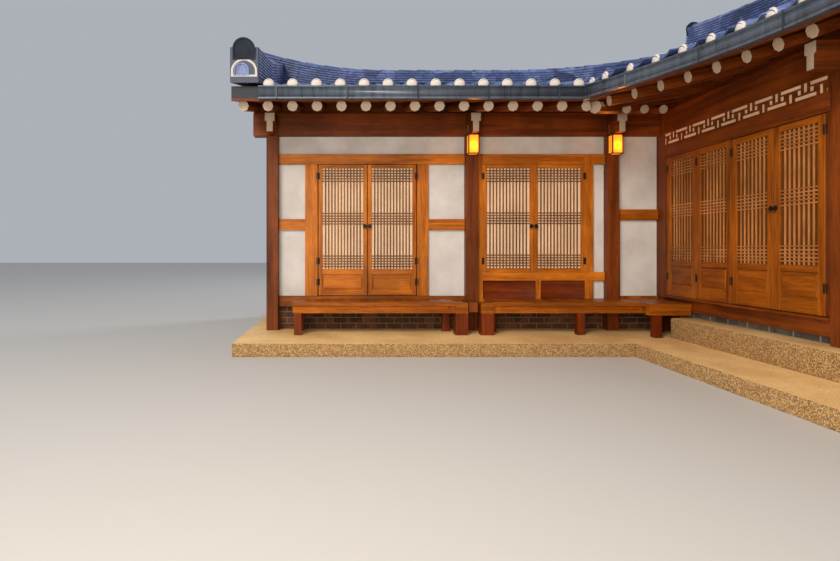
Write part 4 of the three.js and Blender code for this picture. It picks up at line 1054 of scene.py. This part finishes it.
def ridge_bed(node, drop):
    """The mortar bed: a copy of the ridge's solid, lowered to lie under the caps."""
    bed = dressed(node + "_bed", node, (ridge_mortar,), 0)
    lower_top(bed, drop)


def back_crest(x):
    """The crest of the back ridge, which sweeps up at its left end and a little at its inner end."""
    if x < LEFT_SWEEP:
        rise = LEFT_RISE * ((LEFT_SWEEP - x) / LEFT_SWEEP_LENGTH) ** 2
    else:
        rise = 0.04 * max(0.0, x - INNER_SWEEP) ** 2
    return Vector((x, RIDGE_LINE, BACK_CREST + rise))


def right_crest(y):
    """The crest of the right ridge, which sags in the middle and rises to either end."""
    rise = RIGHT_RISE * ((y - RIDGE_LINE + RIGHT_HALF) / RIGHT_HALF) ** 2
    return Vector((RIDGE_LINE, y, RIGHT_CREST + rise))


def down_slope(ridge_top, high, overhang, to_place):
    """The crest of a ridge that runs down a slope, by the distance inside the wall line."""
    def at(distance):
        sweep = 0.06 * max(0.0, -distance / overhang)
        return to_place(distance, roof_height(distance, overhang, ridge_top) + high + sweep)
    return at


ridge_mortar = mortar_finish("ridge mortar", RIDGE_MORTAR)
for ridge_node in ("back_ridge", "right_ridge", "left_gable_ridge", "near_gable_ridge"):
    ridge_bed(ridge_node, RIDGE_CAP)
ridge_courses([(back_crest, LEFT_END, INNER_END), (right_crest, NEAR_END, REAR_END)], MAIN_COURSES,
              RIDGE_WIDE, "main_ridge", (BACK_TOP, RIGHT_TOP))
left_x = LEFT_END + GABLE_MIDDLE
near_y = NEAR_END + GABLE_MIDDLE
near_court = -curved_eave(near_y)
left_front = down_slope(BACK_TOP, GABLE_HIGH, EAVE, lambda d, z: Vector((left_x, d, z)))
left_rear = down_slope(BACK_TOP, GABLE_HIGH, EAVE, lambda d, z: Vector((left_x, DEPTH - d, z)))
near_inner = down_slope(RIGHT_TOP, GABLE_HIGH, near_court, lambda d, z: Vector((d, near_y, z)))
near_outer = down_slope(RIGHT_TOP, GABLE_HIGH, EAVE, lambda d, z: Vector((DEPTH - d, near_y, z)))
gable_crests = [(left_front, -EAVE - PAST_EAVE, RIDGE_LINE), (left_rear, -EAVE - PAST_EAVE, RIDGE_LINE),
                (near_inner, -near_court - NEAR_PAST_EAVE, RIDGE_LINE),
                (near_outer, -EAVE - PAST_EAVE, RIDGE_LINE)]
ridge_courses(gable_crests, GABLE_COURSES, GABLE_WIDE, "gable_ridge")
outer_hip = down_slope(RIGHT_TOP, HIP_HIGH, EAVE, lambda d, z: Vector((DEPTH - d, DEPTH - d, z)))
rear_hip = down_slope(RIGHT_TOP, HIP_HIGH, EAVE, lambda d, z: Vector((d, DEPTH - d, z)))
hip_crests = [(outer_hip, -EAVE, RIDGE_LINE), (rear_hip, 0.0, RIDGE_LINE)]
ridge_courses(hip_crests, HIP_COURSES, RIDGE_WIDE, "hip_ridge")


# Rafters
# Round peeled logs carry the eaves. Their sides are oiled dark brown and their sawn ends, with the ends
# of the crossbeams, are painted a pale clay colour. Three short logs fill the inner corner of the eaves.
END_PAINT = (0.56, 0.45, 0.34, 1)
END_PAINT_THIN = (0.46, 0.37, 0.27, 1)
BEAM_TIP = -0.235
JACK_RADIUS = 0.055
JACK_DROP = 0.285
JACK_PITCH = 0.234
# Each short log: its place along the wall and the place of its sawn end in front of it.
JACKS = ((-0.77, -0.755), (-0.493, -0.626), (-0.216, -0.53))

end_paint = material("pale end paint", END_PAINT, 0.8)
brushed = noise(end_paint, place_in(end_paint), 40.0, 4.0, 0.6)
wire(end_paint, tones(end_paint, brushed, ((0.3, END_PAINT_THIN), (0.7, END_PAINT))), None, brushed, 0.001,
     0.3)


def sawn_ends(finishes):
    """Paints the upright faces that close a member's ends, and leaves the rest along the grain."""
    def choose(piece):
        pick = along_grain(piece)

        def finish_of(face):
            spans = [max(c) - min(c) for c in zip(*(piece.data.vertices[n].co for n in face.vertices))]
            blunt = max(spans) < 0.16 and abs(face.normal.z) < 0.6 and face.area > 0.002
            outside = face.center.x < -0.2 or face.center.y < -0.2
            return len(finishes) - 1 if blunt and outside else pick(face)
        return finish_of
    return choose


log_finishes = (*dark_timber, end_paint)
for wing in ("back", "right"):
    rafters = dressed(wing + "_rafters_logs", wing + "_rafters", log_finishes, 0)
    finish_faces(rafters, log_finishes, sawn_ends(log_finishes)(rafters))
    bpy.ops.object.shade_smooth_by_angle(angle=math.radians(32))
jacks = []
for x, end in JACKS:
    slope = math.atan(JACK_PITCH)
    middle = roof_height(end / 2, EAVE, BACK_TOP) - JACK_DROP
    bpy.ops.mesh.primitive_cylinder_add(vertices=20, radius=JACK_RADIUS, depth=-end / math.cos(slope),
                                        location=(x, end / 2, middle), rotation=(math.pi / 2 + slope, 0, 0))
    bpy.ops.object.transform_apply(location=True, rotation=True, scale=True)
    log = bpy.context.object
    edit_faces(log, lambda middle, normal: abs(normal.y) > 0.9)
    bpy.ops.mesh.bevel(offset=0.004, segments=1, affect="EDGES")
    bpy.ops.object.mode_set(mode="OBJECT")
    jacks.append(log)
joined(jacks, "valley_jack_rafters", Matrix.Identity(4), log_finishes, "house", sawn_ends(log_finishes))
bpy.ops.object.shade_smooth_by_angle(angle=math.radians(32))
for truss, axis in (("back_truss_timber", 1), ("right_truss_timber", 0)):
    beams = bpy.data.objects[truss]
    beams.data.materials.append(end_paint)
    for face in beams.data.polygons:
        past_end = face.center[axis] < BEAM_TIP or face.center[axis] > DEPTH - BEAM_TIP
        if past_end and abs(face.normal[axis]) > 0.5:
            face.material_index = len(dark_timber)


# Gutters
# Folded steel gutters with a rolled upper lip and a stepped foot, painted blue-grey. Clips wrap round
# them at every joint of their lengths.
GUTTER_COLOUR = (0.085, 0.115, 0.145, 1)
GUTTER_WIDE, GUTTER_HIGH, GUTTER_LOW = 0.07, 0.14, 2.85
GUTTER_FACE_Y = -1.1203
GUTTER_THIN, GUTTER_THICK = (0.055, 0.072, 0.10, 1), (0.11, 0.135, 0.175, 1)
CLIP_THIN, CLIP_THICK = (0.018, 0.024, 0.034, 1), (0.045, 0.058, 0.078, 1)
LIP, BELLY, FOOT = (0.120, GUTTER_HIGH), (0.032, 0.108), (0.0, 0.022)
BACK_CLIP_START, BACK_CLIP_STEP = -4.807, 0.7775
RIGHT_CLIP_START, RIGHT_CLIP_STEP = -1.59, 0.74

gutter_paint = material("blue grey gutter paint", GUTTER_COLOUR, 0.3)
gutter_place = place_in(gutter_paint)
streaks = noise(gutter_paint, place_in(gutter_paint, (6, 6, 0.8)), 3.0, 4.0, 0.6)
paint_tone = tones(gutter_paint, streaks, ((0.3, GUTTER_THIN), (0.7, GUTTER_THICK)))
wire(gutter_paint, paint_tone, within(gutter_paint, streaks, 0.3, 0.7, 0.24, 0.42),
     noise(gutter_paint, gutter_place, 90.0, 2.0, 0.5), 0.0004, 0.25)
gutter_paint.node_tree.nodes["Principled BSDF"].inputs["Metallic"].default_value = 0.25


def gutter_face(y):
    """Place along x of the outer face of the right wing's gutter."""
    return EAVE_CROWN - EAVE_BEND * (y - BEND_MIDDLE) ** 2


def moulded_gutter(node, outer):
    """A copy of the channel with a rolled lip and a stepped foot pushed out of its outer face."""
    gutter = dressed(node + "_painted", node, (gutter_paint,), 0)
    bpy.ops.object.mode_set(mode="EDIT")
    for height in (FOOT[1], BELLY[0], BELLY[1], LIP[0]):
        bpy.ops.mesh.select_all(action="SELECT")
        bpy.ops.mesh.bisect(plane_co=(0, 0, GUTTER_LOW + height), plane_no=(0, 0, 1))
    bpy.ops.object.mode_set(mode="OBJECT")
    for (low, high), proud in ((LIP, 0.014), (BELLY, 0.006), (FOOT, 0.010)):
        edit_faces(gutter, lambda middle, normal: (outer(middle, normal)
                                                   and low < middle.z - GUTTER_LOW < high))
        bpy.ops.mesh.extrude_region_shrink_fatten(TRANSFORM_OT_shrink_fatten={"value": proud})
        bpy.ops.object.mode_set(mode="OBJECT")


def on_back_face(middle, normal):
    """Whether a face is on the outer side of the back wing's gutter."""
    return normal.y < -0.9 and middle.y < GUTTER_FACE_Y + 0.003


def on_right_face(middle, normal):
    """Whether a face is on the outer side of the right wing's curved gutter."""
    return normal.x < -0.8 and middle.x < gutter_face(middle.y) + 0.02


moulded_gutter("back_gutter", on_back_face)
moulded_gutter("right_gutter", on_right_face)

clip_places = []
clip_x = BACK_CLIP_START
while clip_x < VALLEY_X - 0.1:
    clip_places.append(Matrix.Translation((clip_x, GUTTER_FACE_Y, 0)))
    clip_x += BACK_CLIP_STEP
clip_y = RIGHT_CLIP_START
while clip_y > -5.4:
    bend = math.atan(-2 * EAVE_BEND * (clip_y - BEND_MIDDLE))
    turn = Matrix.Rotation(-math.pi / 2 + bend, 4, "Z")
    clip_places.append(Matrix.Translation((gutter_face(clip_y), clip_y, 0)) @ turn)
    clip_y -= RIGHT_CLIP_STEP
clip = fresh_box((0.016, 0.019, GUTTER_HIGH + 0.008), (0, -0.0085, GUTTER_LOW + GUTTER_HIGH / 2))
edit_faces(clip, lambda middle, normal: normal.z > 0.9)
bpy.ops.mesh.extrude_region_move(TRANSFORM_OT_translate={"value": (0, 0, 0.004)})
bpy.ops.object.mode_set(mode="OBJECT")
edit_faces(clip, lambda middle, normal: normal.y > 0.9 and middle.z > GUTTER_LOW + GUTTER_HIGH + 0.003)
bpy.ops.mesh.extrude_region_move(TRANSFORM_OT_translate={"value": (0, GUTTER_WIDE, 0)})
bpy.ops.object.mode_set(mode="OBJECT")
clip_paint = gutter_paint.copy()
clip_paint.name = "dark clip paint"
for node in clip_paint.node_tree.nodes:
    if node.type == "VALTORGB":
        node.color_ramp.elements[0].color = CLIP_THIN
        node.color_ramp.elements[1].color = CLIP_THICK
copies_of(clip, clip_places, "gutter_clips", (clip_paint,))


# Porches
# The narrow porches are decks of pine boards tongued into a frame, with a deep front board and stout
# square legs. Boards and frame are oiled to a warm amber and the legs to a dark russet.
BOARD_WIDE = 0.12
BOARD_GAP = 0.004
BOARD_THICK = 0.008
DECK_TOP = 0.55
DECK_PROUD = 0.0015
DECK_FRONT, DECK_BACK = -0.485, -0.05
LEG_TOP = 0.41
DECK_JOINTS = [("y", -0.44), ("y", -0.13), ("z", 0.505), ("z", 0.415)]

for porch, left_leg, right_leg in (("left_maru", -4.60, -2.81), ("right_maru", -2.172, -0.496)):
    deck = member(porch + "_timber", porch, amber_timber, FRAME_EASE,
                  joints=[("x", left_leg), ("x", right_leg)] + DECK_JOINTS)
    for finish in russet_timber:
        deck.data.materials.append(finish)
    for face in deck.data.polygons:
        if face.center.z < LEG_TOP:
            face.material_index += len(amber_timber)


def deck_boards(left, right, name):
    """Boards laid across a deck, each a little apart, on top of the deck's own solid."""
    parts = []
    count = round((right - left) / BOARD_WIDE)
    wide = (right - left) / count
    for number in range(count):
        place = (left + number * wide + wide / 2, (DECK_FRONT + DECK_BACK) / 2,
                 DECK_TOP + DECK_PROUD - BOARD_THICK / 2)
        parts.append(fresh_box((wide - BOARD_GAP, DECK_BACK - DECK_FRONT, BOARD_THICK), place))
    joined(parts, name, Matrix.Identity(4), amber_timber, "house", along_grain)


deck_boards(-4.65, -2.76, "left_deck_boards")
deck_boards(-2.222, -0.05, "right_deck_boards")


# Ridge end tiles
# Each ridge ends in an upright arched tile, smoked almost black, that leans out over the eave. On the
# gables the end of the stack below it is plastered with white lime round the end of one hollow tile.
ARCH_WIDE = 0.25
ARCH_HIGH = 0.235
ARCH_THICK = 0.035
ARCH_LEAN = 0.20
GABLE_END_DROP, REAR_END_DROP, HIP_END_DROP = 0.21, 0.19, 0.15
MAIN_END_DROP = ARCH_HIGH - 0.02
LIME_DROP, HOLLOW_DROP = 0.19, 0.18
LIME_SIZE, HOLLOW_SIZE = (0.29, 0.20, 0.03), (0.17, 0.145, 0.012)
WHITE_LIME = (0.72, 0.68, 0.60, 1)
SMOKED_TONES = ((0.0, (0.005, 0.008, 0.018, 1)), (0.5, (0.010, 0.015, 0.034, 1)),
                (1.0, (0.022, 0.030, 0.060, 1)))


def arched_slab(width, height, thick):
    """An upright slab facing -y with a round top; its middle foot is at the origin."""
    bpy.ops.object.select_all(action="DESELECT")
    bpy.ops.mesh.primitive_cylinder_add(vertices=28, radius=width / 2, depth=thick,
                                        rotation=(math.radians(90), 0, 0))
    slab = bpy.context.object
    bpy.ops.object.transform_apply(location=False, rotation=True, scale=False)
    straight = height - width / 2
    for point in slab.data.vertices:
        if point.co.z < 0.001:
            point.co.x = math.copysign(width / 2, point.co.x) if abs(point.co.x) > 0.002 else 0.0
            point.co.z = -straight
        point.co.z += straight
    bpy.ops.object.mode_set(mode="EDIT")
    bpy.ops.mesh.select_all(action="SELECT")
    bpy.ops.mesh.remove_doubles(threshold=0.0005)
    bpy.ops.object.mode_set(mode="OBJECT")
    edit_faces(slab, lambda middle, normal: normal.y < -0.9)
    bpy.ops.mesh.inset(thickness=0.018)
    bpy.ops.mesh.inset(thickness=0.006, depth=-0.006)
    bpy.ops.object.mode_set(mode="OBJECT")
    return slab


smoked_tile = fired_tile("smoked end tile", SMOKED_TONES, 0.5)
smoked_tile.node_tree.nodes["Principled BSDF"].inputs["Specular IOR Level"].default_value = 0.2
white_lime = mortar_finish("white lime end", WHITE_LIME)


def end_slabs(slab, ends, drop, turn, name, finish):
    """A copy of a slab at each end. An end is its foot and the direction it faces."""
    places = []
    for foot, outward in ends:
        facing = Matrix.Rotation(math.atan2(outward[0], -outward[1]), 4, "Z")
        places.append(Matrix.Translation(foot - Vector((0, 0, drop))) @ facing @ turn)
    copies_of(slab, places, name, (finish,))
    bpy.ops.object.shade_smooth_by_angle(angle=math.radians(35))


ends = []
for at, start, _ in gable_crests:
    outward = (at(start) - at(start + 0.2)).normalized()
    ends.append((at(start) - Vector((0, 0, GABLE_END_DROP)), (outward.x, outward.y)))
ends.append((right_crest(REAR_END) - Vector((0, 0, REAR_END_DROP)), (0, 1)))
ends.append((back_crest(LEFT_END) - Vector((0, 0, MAIN_END_DROP)), (-1, 0)))
ends.append((right_crest(NEAR_END) - Vector((0, 0, MAIN_END_DROP)), (0, -1)))
ends.append((outer_hip(-EAVE) - Vector((0, 0, HIP_END_DROP)), (1, 1)))
gable_ends = ends[:len(gable_crests)]
end_slabs(arched_slab(ARCH_WIDE, ARCH_HIGH, ARCH_THICK), ends, 0, Matrix.Rotation(ARCH_LEAN, 4, "X"),
          "ridge_end_tiles", smoked_tile)
end_slabs(arched_slab(*LIME_SIZE), gable_ends, LIME_DROP, Matrix.Identity(4),
          "ridge_end_mortar", white_lime)
end_slabs(arched_slab(*HOLLOW_SIZE), gable_ends, HOLLOW_DROP, Matrix.Translation((-0.03, -0.014, 0)),
          "ridge_end_hollows", slate_tile)


# Wall lanterns
# A small lantern of dark stained wood with mulberry paper panes hangs on each of two posts. The panes
# glow amber, and a lamp just in front of them warms the post and the plaster beside it.
LANTERN_GLOW = (1.0, 0.30, 0.018, 1)
LANTERN_DARK = (0.02, 0.009, 0.005, 1)
LANTERN_WOOD = (0.035, 0.016, 0.008, 1)
LANTERN_WIDE = 0.13
LANTERN_FRONT, LANTERN_BACK = -0.23, -0.11
LANTERN_LOW, LANTERN_HIGH = 2.40, 2.64
LANTERN_BAR = 0.014
LANTERN_EASE = 0.001
LAMP_POWER = 3.0
LAMP_HEIGHT = 2.50

glow_paper = material("glowing lantern paper", (0.9, 0.55, 0.16, 1), 0.8)
glow_place = place_in(glow_paper)
glow_fibres = noise(glow_paper, glow_place, 60.0, 5.0, 0.6)
glow_tone = tones(glow_paper, glow_fibres, ((0.3, (0.6, 0.20, 0.012, 1)), (0.7, (0.8, 0.30, 0.03, 1))))
wire(glow_paper, glow_tone, None, glow_fibres, 0.0005, 0.3)
glow_shader = glow_paper.node_tree.nodes["Principled BSDF"]
glow_shader.inputs["Emission Color"].default_value = LANTERN_GLOW
glow_shader.inputs["Emission Strength"].default_value = 0.85
lantern_wood = timber_three_ways("lantern wood", LANTERN_DARK, LANTERN_WOOD, 0.4)


def lantern_bars(left, right):
    """The frame of one lantern: corner bars, rails between them, and a lid that stands out all round."""
    bars = []
    front, back, low, high = LANTERN_FRONT, LANTERN_BACK, LANTERN_LOW, LANTERN_HIGH
    bar, out, in_bar = LANTERN_BAR, 0.004, 0.001
    across = (left - out, right - bar + out)
    deep = (front - out, back - bar)
    for x in across:
        for y in deep:
            stick(x, x + bar, y, y + bar, low - out, high + out, LANTERN_EASE, bars)
    for z in (low - out, high - bar + out):
        for y in deep:
            stick(left, right, y + in_bar, y + bar - in_bar, z, z + bar, LANTERN_EASE, bars)
        for x in across:
            stick(x + in_bar, x + bar - in_bar, front, back, z, z + bar, LANTERN_EASE, bars)
    stick(left - 0.008, right + 0.008, front - 0.008, back - 0.0005, high, high + 0.009, LANTERN_EASE, bars)
    return bars


for number, left in ((1, -2.500), (2, -0.688)):
    finish_faces(nodes[f"lantern_{number}"], (glow_paper,))
    joined(lantern_bars(left, left + LANTERN_WIDE), f"lantern_{number}_frame", Matrix.Identity(4),
           lantern_wood, "house", along_grain)
    lamp_place = (left + LANTERN_WIDE / 2, LANTERN_FRONT - 0.05, LAMP_HEIGHT)
    bpy.ops.object.light_add(type="POINT", location=lamp_place)
    lamp = bpy.context.object
    lamp.name = f"lantern_{number}_lamp"
    lamp.data.energy = LAMP_POWER
    lamp.data.color = LANTERN_GLOW[:3]
    lamp.data.shadow_soft_size = 0.05


# Transom fret
# Over the right wing's doors runs a thin pine board sawn through in a meander, in front of paper that is
# pasted on the transom.
FRET_PERIOD = 0.335
FRET_START = 0.088
FRET_THICK = 0.010
FRET_FACE = -0.0115
FRET_LOW, FRET_HIGH = 2.501, 2.6495
FRET_MARGIN = 0.02
SHORTEST_SLOT = 0.015
SAWN_SLOTS = ((0.0, 0.242, 2.610, 2.643), (0.267, 0.310, 2.563, 2.643), (0.101, 0.141, 2.507, 2.588),
              (0.0, 0.045, 2.554, 2.597), (0.197, 0.242, 2.554, 2.597), (0.1685, 0.4085, 2.507, 2.540))


def fret_slots(near, far):
    """The places where the saw goes through the board, as boxes that stand through it."""
    slots = []
    for period in range(-1, 17):
        for start, end, low, high in SAWN_SLOTS:
            right = min(-FRET_START - period * FRET_PERIOD - start, far - FRET_MARGIN)
            left = max(-FRET_START - period * FRET_PERIOD - end, near + FRET_MARGIN)
            if right - left > SHORTEST_SLOT:
                slots.append(fresh_box((3 * FRET_THICK, right - left, high - low),
                                       (FRET_FACE, (left + right) / 2, (low + high) / 2)))
    return slots


for bay, (near, far) in (("first", (-2.639, -0.171)), ("second", (SCREEN_NEAR, SCREEN_FAR))):
    board = fresh_box((FRET_THICK, far - near, FRET_HIGH - FRET_LOW),
                      (FRET_FACE + FRET_THICK / 2, (near + far) / 2, (FRET_LOW + FRET_HIGH) / 2))
    cutter = join_all(fret_slots(near, far))
    sawing = board.modifiers.new("sawn slots", "BOOLEAN")
    sawing.object = cutter
    sawing.operation = "DIFFERENCE"
    sawing.solver = "EXACT"
    bpy.context.view_layer.objects.active = board
    bpy.ops.object.modifier_apply(modifier=sawing.name)
    bpy.data.objects.remove(cutter)
    finish_faces(board, dark_timber, along_grain(board))
    finished(board, bay + "_bay_fret", dark_timber, "house")
    backing = fresh_box((0.001, far - near - 0.02, FRET_HIGH - FRET_LOW - 0.004),
                        (FRET_FACE + FRET_THICK + 0.0007, (near + far) / 2, (FRET_LOW + FRET_HIGH) / 2))
    finish_faces(backing, (paper,))
    finished(backing, bay + "_bay_fret_paper", (paper,))


# Hinges and rings
# Every leaf hangs on forged iron hinges, blackened with oil, whose plates are nailed to the stile and to
# the jamb. Iron rings on round plates, one on each meeting stile, pull the leaves open.
HINGE_HIGH = 0.085
PLATE_WIDE = 0.012
PLATE_THICK = 0.002
PLATE_MARGIN = 0.007
JAMB_MARGIN = 0.005
NAIL_RADIUS, NAIL_PROUD, NAIL_STEP = 0.0032, 0.0012, 0.03
KNUCKLE = 0.006
RING = 0.022
RING_WIRE = 0.0028
RING_PLATE = 0.027
STAPLE = 0.005
IRON_DARK, IRON_LIGHT = (0.006, 0.0055, 0.005, 1), (0.035, 0.030, 0.026, 1)

iron = material("blackened iron", (0.012, 0.011, 0.010, 1), 0.5)
iron.node_tree.nodes["Principled BSDF"].inputs["Metallic"].default_value = 0.7
hammered = noise(iron, place_in(iron), 260.0, 2.0, 0.5)
wire(iron, tones(iron, hammered, ((0.35, IRON_DARK), (0.7, IRON_LIGHT))),
     within(iron, hammered, 0.3, 0.7, 0.4, 0.62), hammered, 0.001, 0.4)


def hinge_plate(start, end, height, parts):
    """A nailed plate on the face y = 0, with three nail heads."""
    middle = (start + end) / 2
    parts.append(fresh_box((abs(end - start), PLATE_THICK, HINGE_HIGH), (middle, -PLATE_THICK / 2, height)))
    for step in (-1, 0, 1):
        nail_place = (middle, -PLATE_THICK - 0.0005, height + step * NAIL_STEP)
        bpy.ops.mesh.primitive_cylinder_add(vertices=8, radius=NAIL_RADIUS, depth=NAIL_PROUD,
                                            rotation=(math.pi / 2, 0, 0), location=nail_place)
        parts.append(bpy.context.object)


def hinges(name, place, edge, inward, gap, heights, leaf_body):
    """Hinges at a leaf's edge. inward is 1 or -1 towards the leaf; gap is the joint beside the leaf."""
    on_leaf, on_jamb = [], []
    for height in heights:
        near_edge, far_edge = PLATE_MARGIN, PLATE_MARGIN + PLATE_WIDE
        hinge_plate(edge + inward * near_edge, edge + inward * far_edge, height, on_leaf)
        bpy.ops.mesh.primitive_cylinder_add(vertices=12, radius=KNUCKLE, depth=HINGE_HIGH,
                                            location=(edge + inward * 0.002, -PLATE_THICK, height))
        on_leaf.append(bpy.context.object)
        jamb_edge = gap + JAMB_MARGIN
        hinge_plate(edge - inward * jamb_edge, edge - inward * (jamb_edge + PLATE_WIDE), height, on_jamb)
    joined(on_leaf, name + "_leaf_plates", place, (iron,), leaf_body)
    joined(on_jamb, name + "_jamb_plates", place, (iron,), "house")


def ring_pull(name, place, at, height, body):
    """An iron ring that hangs from a staple on a round plate."""
    parts = []
    upright = (math.pi / 2, 0, 0)
    bpy.ops.mesh.primitive_cylinder_add(vertices=24, radius=RING_PLATE, depth=PLATE_THICK, rotation=upright,
                                        location=(at, -PLATE_THICK / 2, height))
    bpy.ops.object.transform_apply(location=True, rotation=True, scale=True)
    parts.append(bpy.context.object)
    bpy.ops.mesh.primitive_cylinder_add(vertices=12, radius=STAPLE, depth=0.012, rotation=upright,
                                        location=(at, -0.007, height + 0.003))
    parts.append(bpy.context.object)
    bpy.ops.mesh.primitive_torus_add(major_radius=RING, minor_radius=RING_WIRE, major_segments=28,
                                     minor_segments=8, rotation=upright,
                                     location=(at, -0.011, height - RING + 0.003))
    parts.append(bpy.context.object)
    joined(parts, name, place, (iron,), body)


back_face = Matrix.Translation((0, LEAF_FACE, 0))
DOOR_HINGES = (0.767, 1.038, 2.136)
BACK_RINGS = 1.49
RIGHT_RINGS = 1.575
hinges("door_left_hinge", back_face, -4.402, 1, 0.010, DOOR_HINGES, "door_leaf_left")
hinges("door_right_hinge", back_face, -3.137, -1, 0.010, DOOR_HINGES, "door_leaf_right")
WINDOW_HINGES = (1.038, 2.136)
hinges("window_left_hinge", back_face, -2.275, 1, 0.001, WINDOW_HINGES, "house")
hinges("window_right_hinge", back_face, -0.960, -1, 0.001, WINDOW_HINGES, "house")
ring_pull("door_ring_left", back_face, -3.802, BACK_RINGS, "door_leaf_left")
ring_pull("door_ring_right", back_face, -3.737, BACK_RINGS, "door_leaf_right")
ring_pull("window_ring_left", back_face, -1.648, BACK_RINGS, "house")
ring_pull("window_ring_right", back_face, -1.587, BACK_RINGS, "house")
RIGHT_HINGES = (0.855, 2.20)
hinges("right_hinge_1", facing_courtyard, 0.231, 1, 0.001, RIGHT_HINGES, "house")
hinges("right_hinge_2", facing_courtyard, 0.820, 1, 0.001, RIGHT_HINGES, "house")
hinges("right_hinge_3", facing_courtyard, 1.420, 1, 0.011, RIGHT_HINGES, "right_leaf_far")
hinges("right_hinge_4", facing_courtyard, 2.580, -1, 0.010, RIGHT_HINGES, "right_leaf_near")
ring_pull("right_ring_far", facing_courtyard, 1.971, RIGHT_RINGS, "right_leaf_far")
ring_pull("right_ring_near", facing_courtyard, 2.029, RIGHT_RINGS, "right_leaf_near")
for number, edge in enumerate((2.861, 3.4535, 4.046, 4.6385)):
    hinges(f"second_bay_hinge_{number + 1}", facing_courtyard, edge, 1, 0.001, RIGHT_HINGES, "house")


# Floors
# The rooms have heated floors of flat stones and clay, covered with sheets of thick mulberry paper that
# is pasted down, oiled and rubbed until it is honey-yellow and glossy.
SHEET = 0.9
SHEET_LIGHT, SHEET_DARK, SHEET_EDGE = (0.50, 0.27, 0.055, 1), (0.44, 0.225, 0.042, 1), (0.26, 0.12, 0.02, 1)

floor_paper = material("oiled floor paper", SHEET_LIGHT, 0.3)
floor_place = place_in(floor_paper)
sheets = add_node(floor_paper, "ShaderNodeTexBrick", {"offset": 0.5}, Vector=floor_place, Scale=1.0,
                  Color1=SHEET_LIGHT, Color2=SHEET_DARK, Mortar=SHEET_EDGE, Mortar_Size=0.004,
                  Brick_Width=SHEET, Row_Height=SHEET)
clouds = noise(floor_paper, floor_place, 5.0, 5.0, 0.65, 0.6)
oiled = tones(floor_paper, clouds, ((0.3, (0.8, 0.76, 0.7, 1)), (0.7, (1.1, 1.08, 1.05, 1))))
wire(floor_paper, mixed(floor_paper, 1.0, sheets.outputs["Color"], oiled, "MULTIPLY"),
     within(floor_paper, clouds, 0.3, 0.7, 0.24, 0.4), clouds, 0.001, 0.2)
for room in ("back_floor", "right_floor"):
    finish_faces(nodes[room], (floor_paper,))
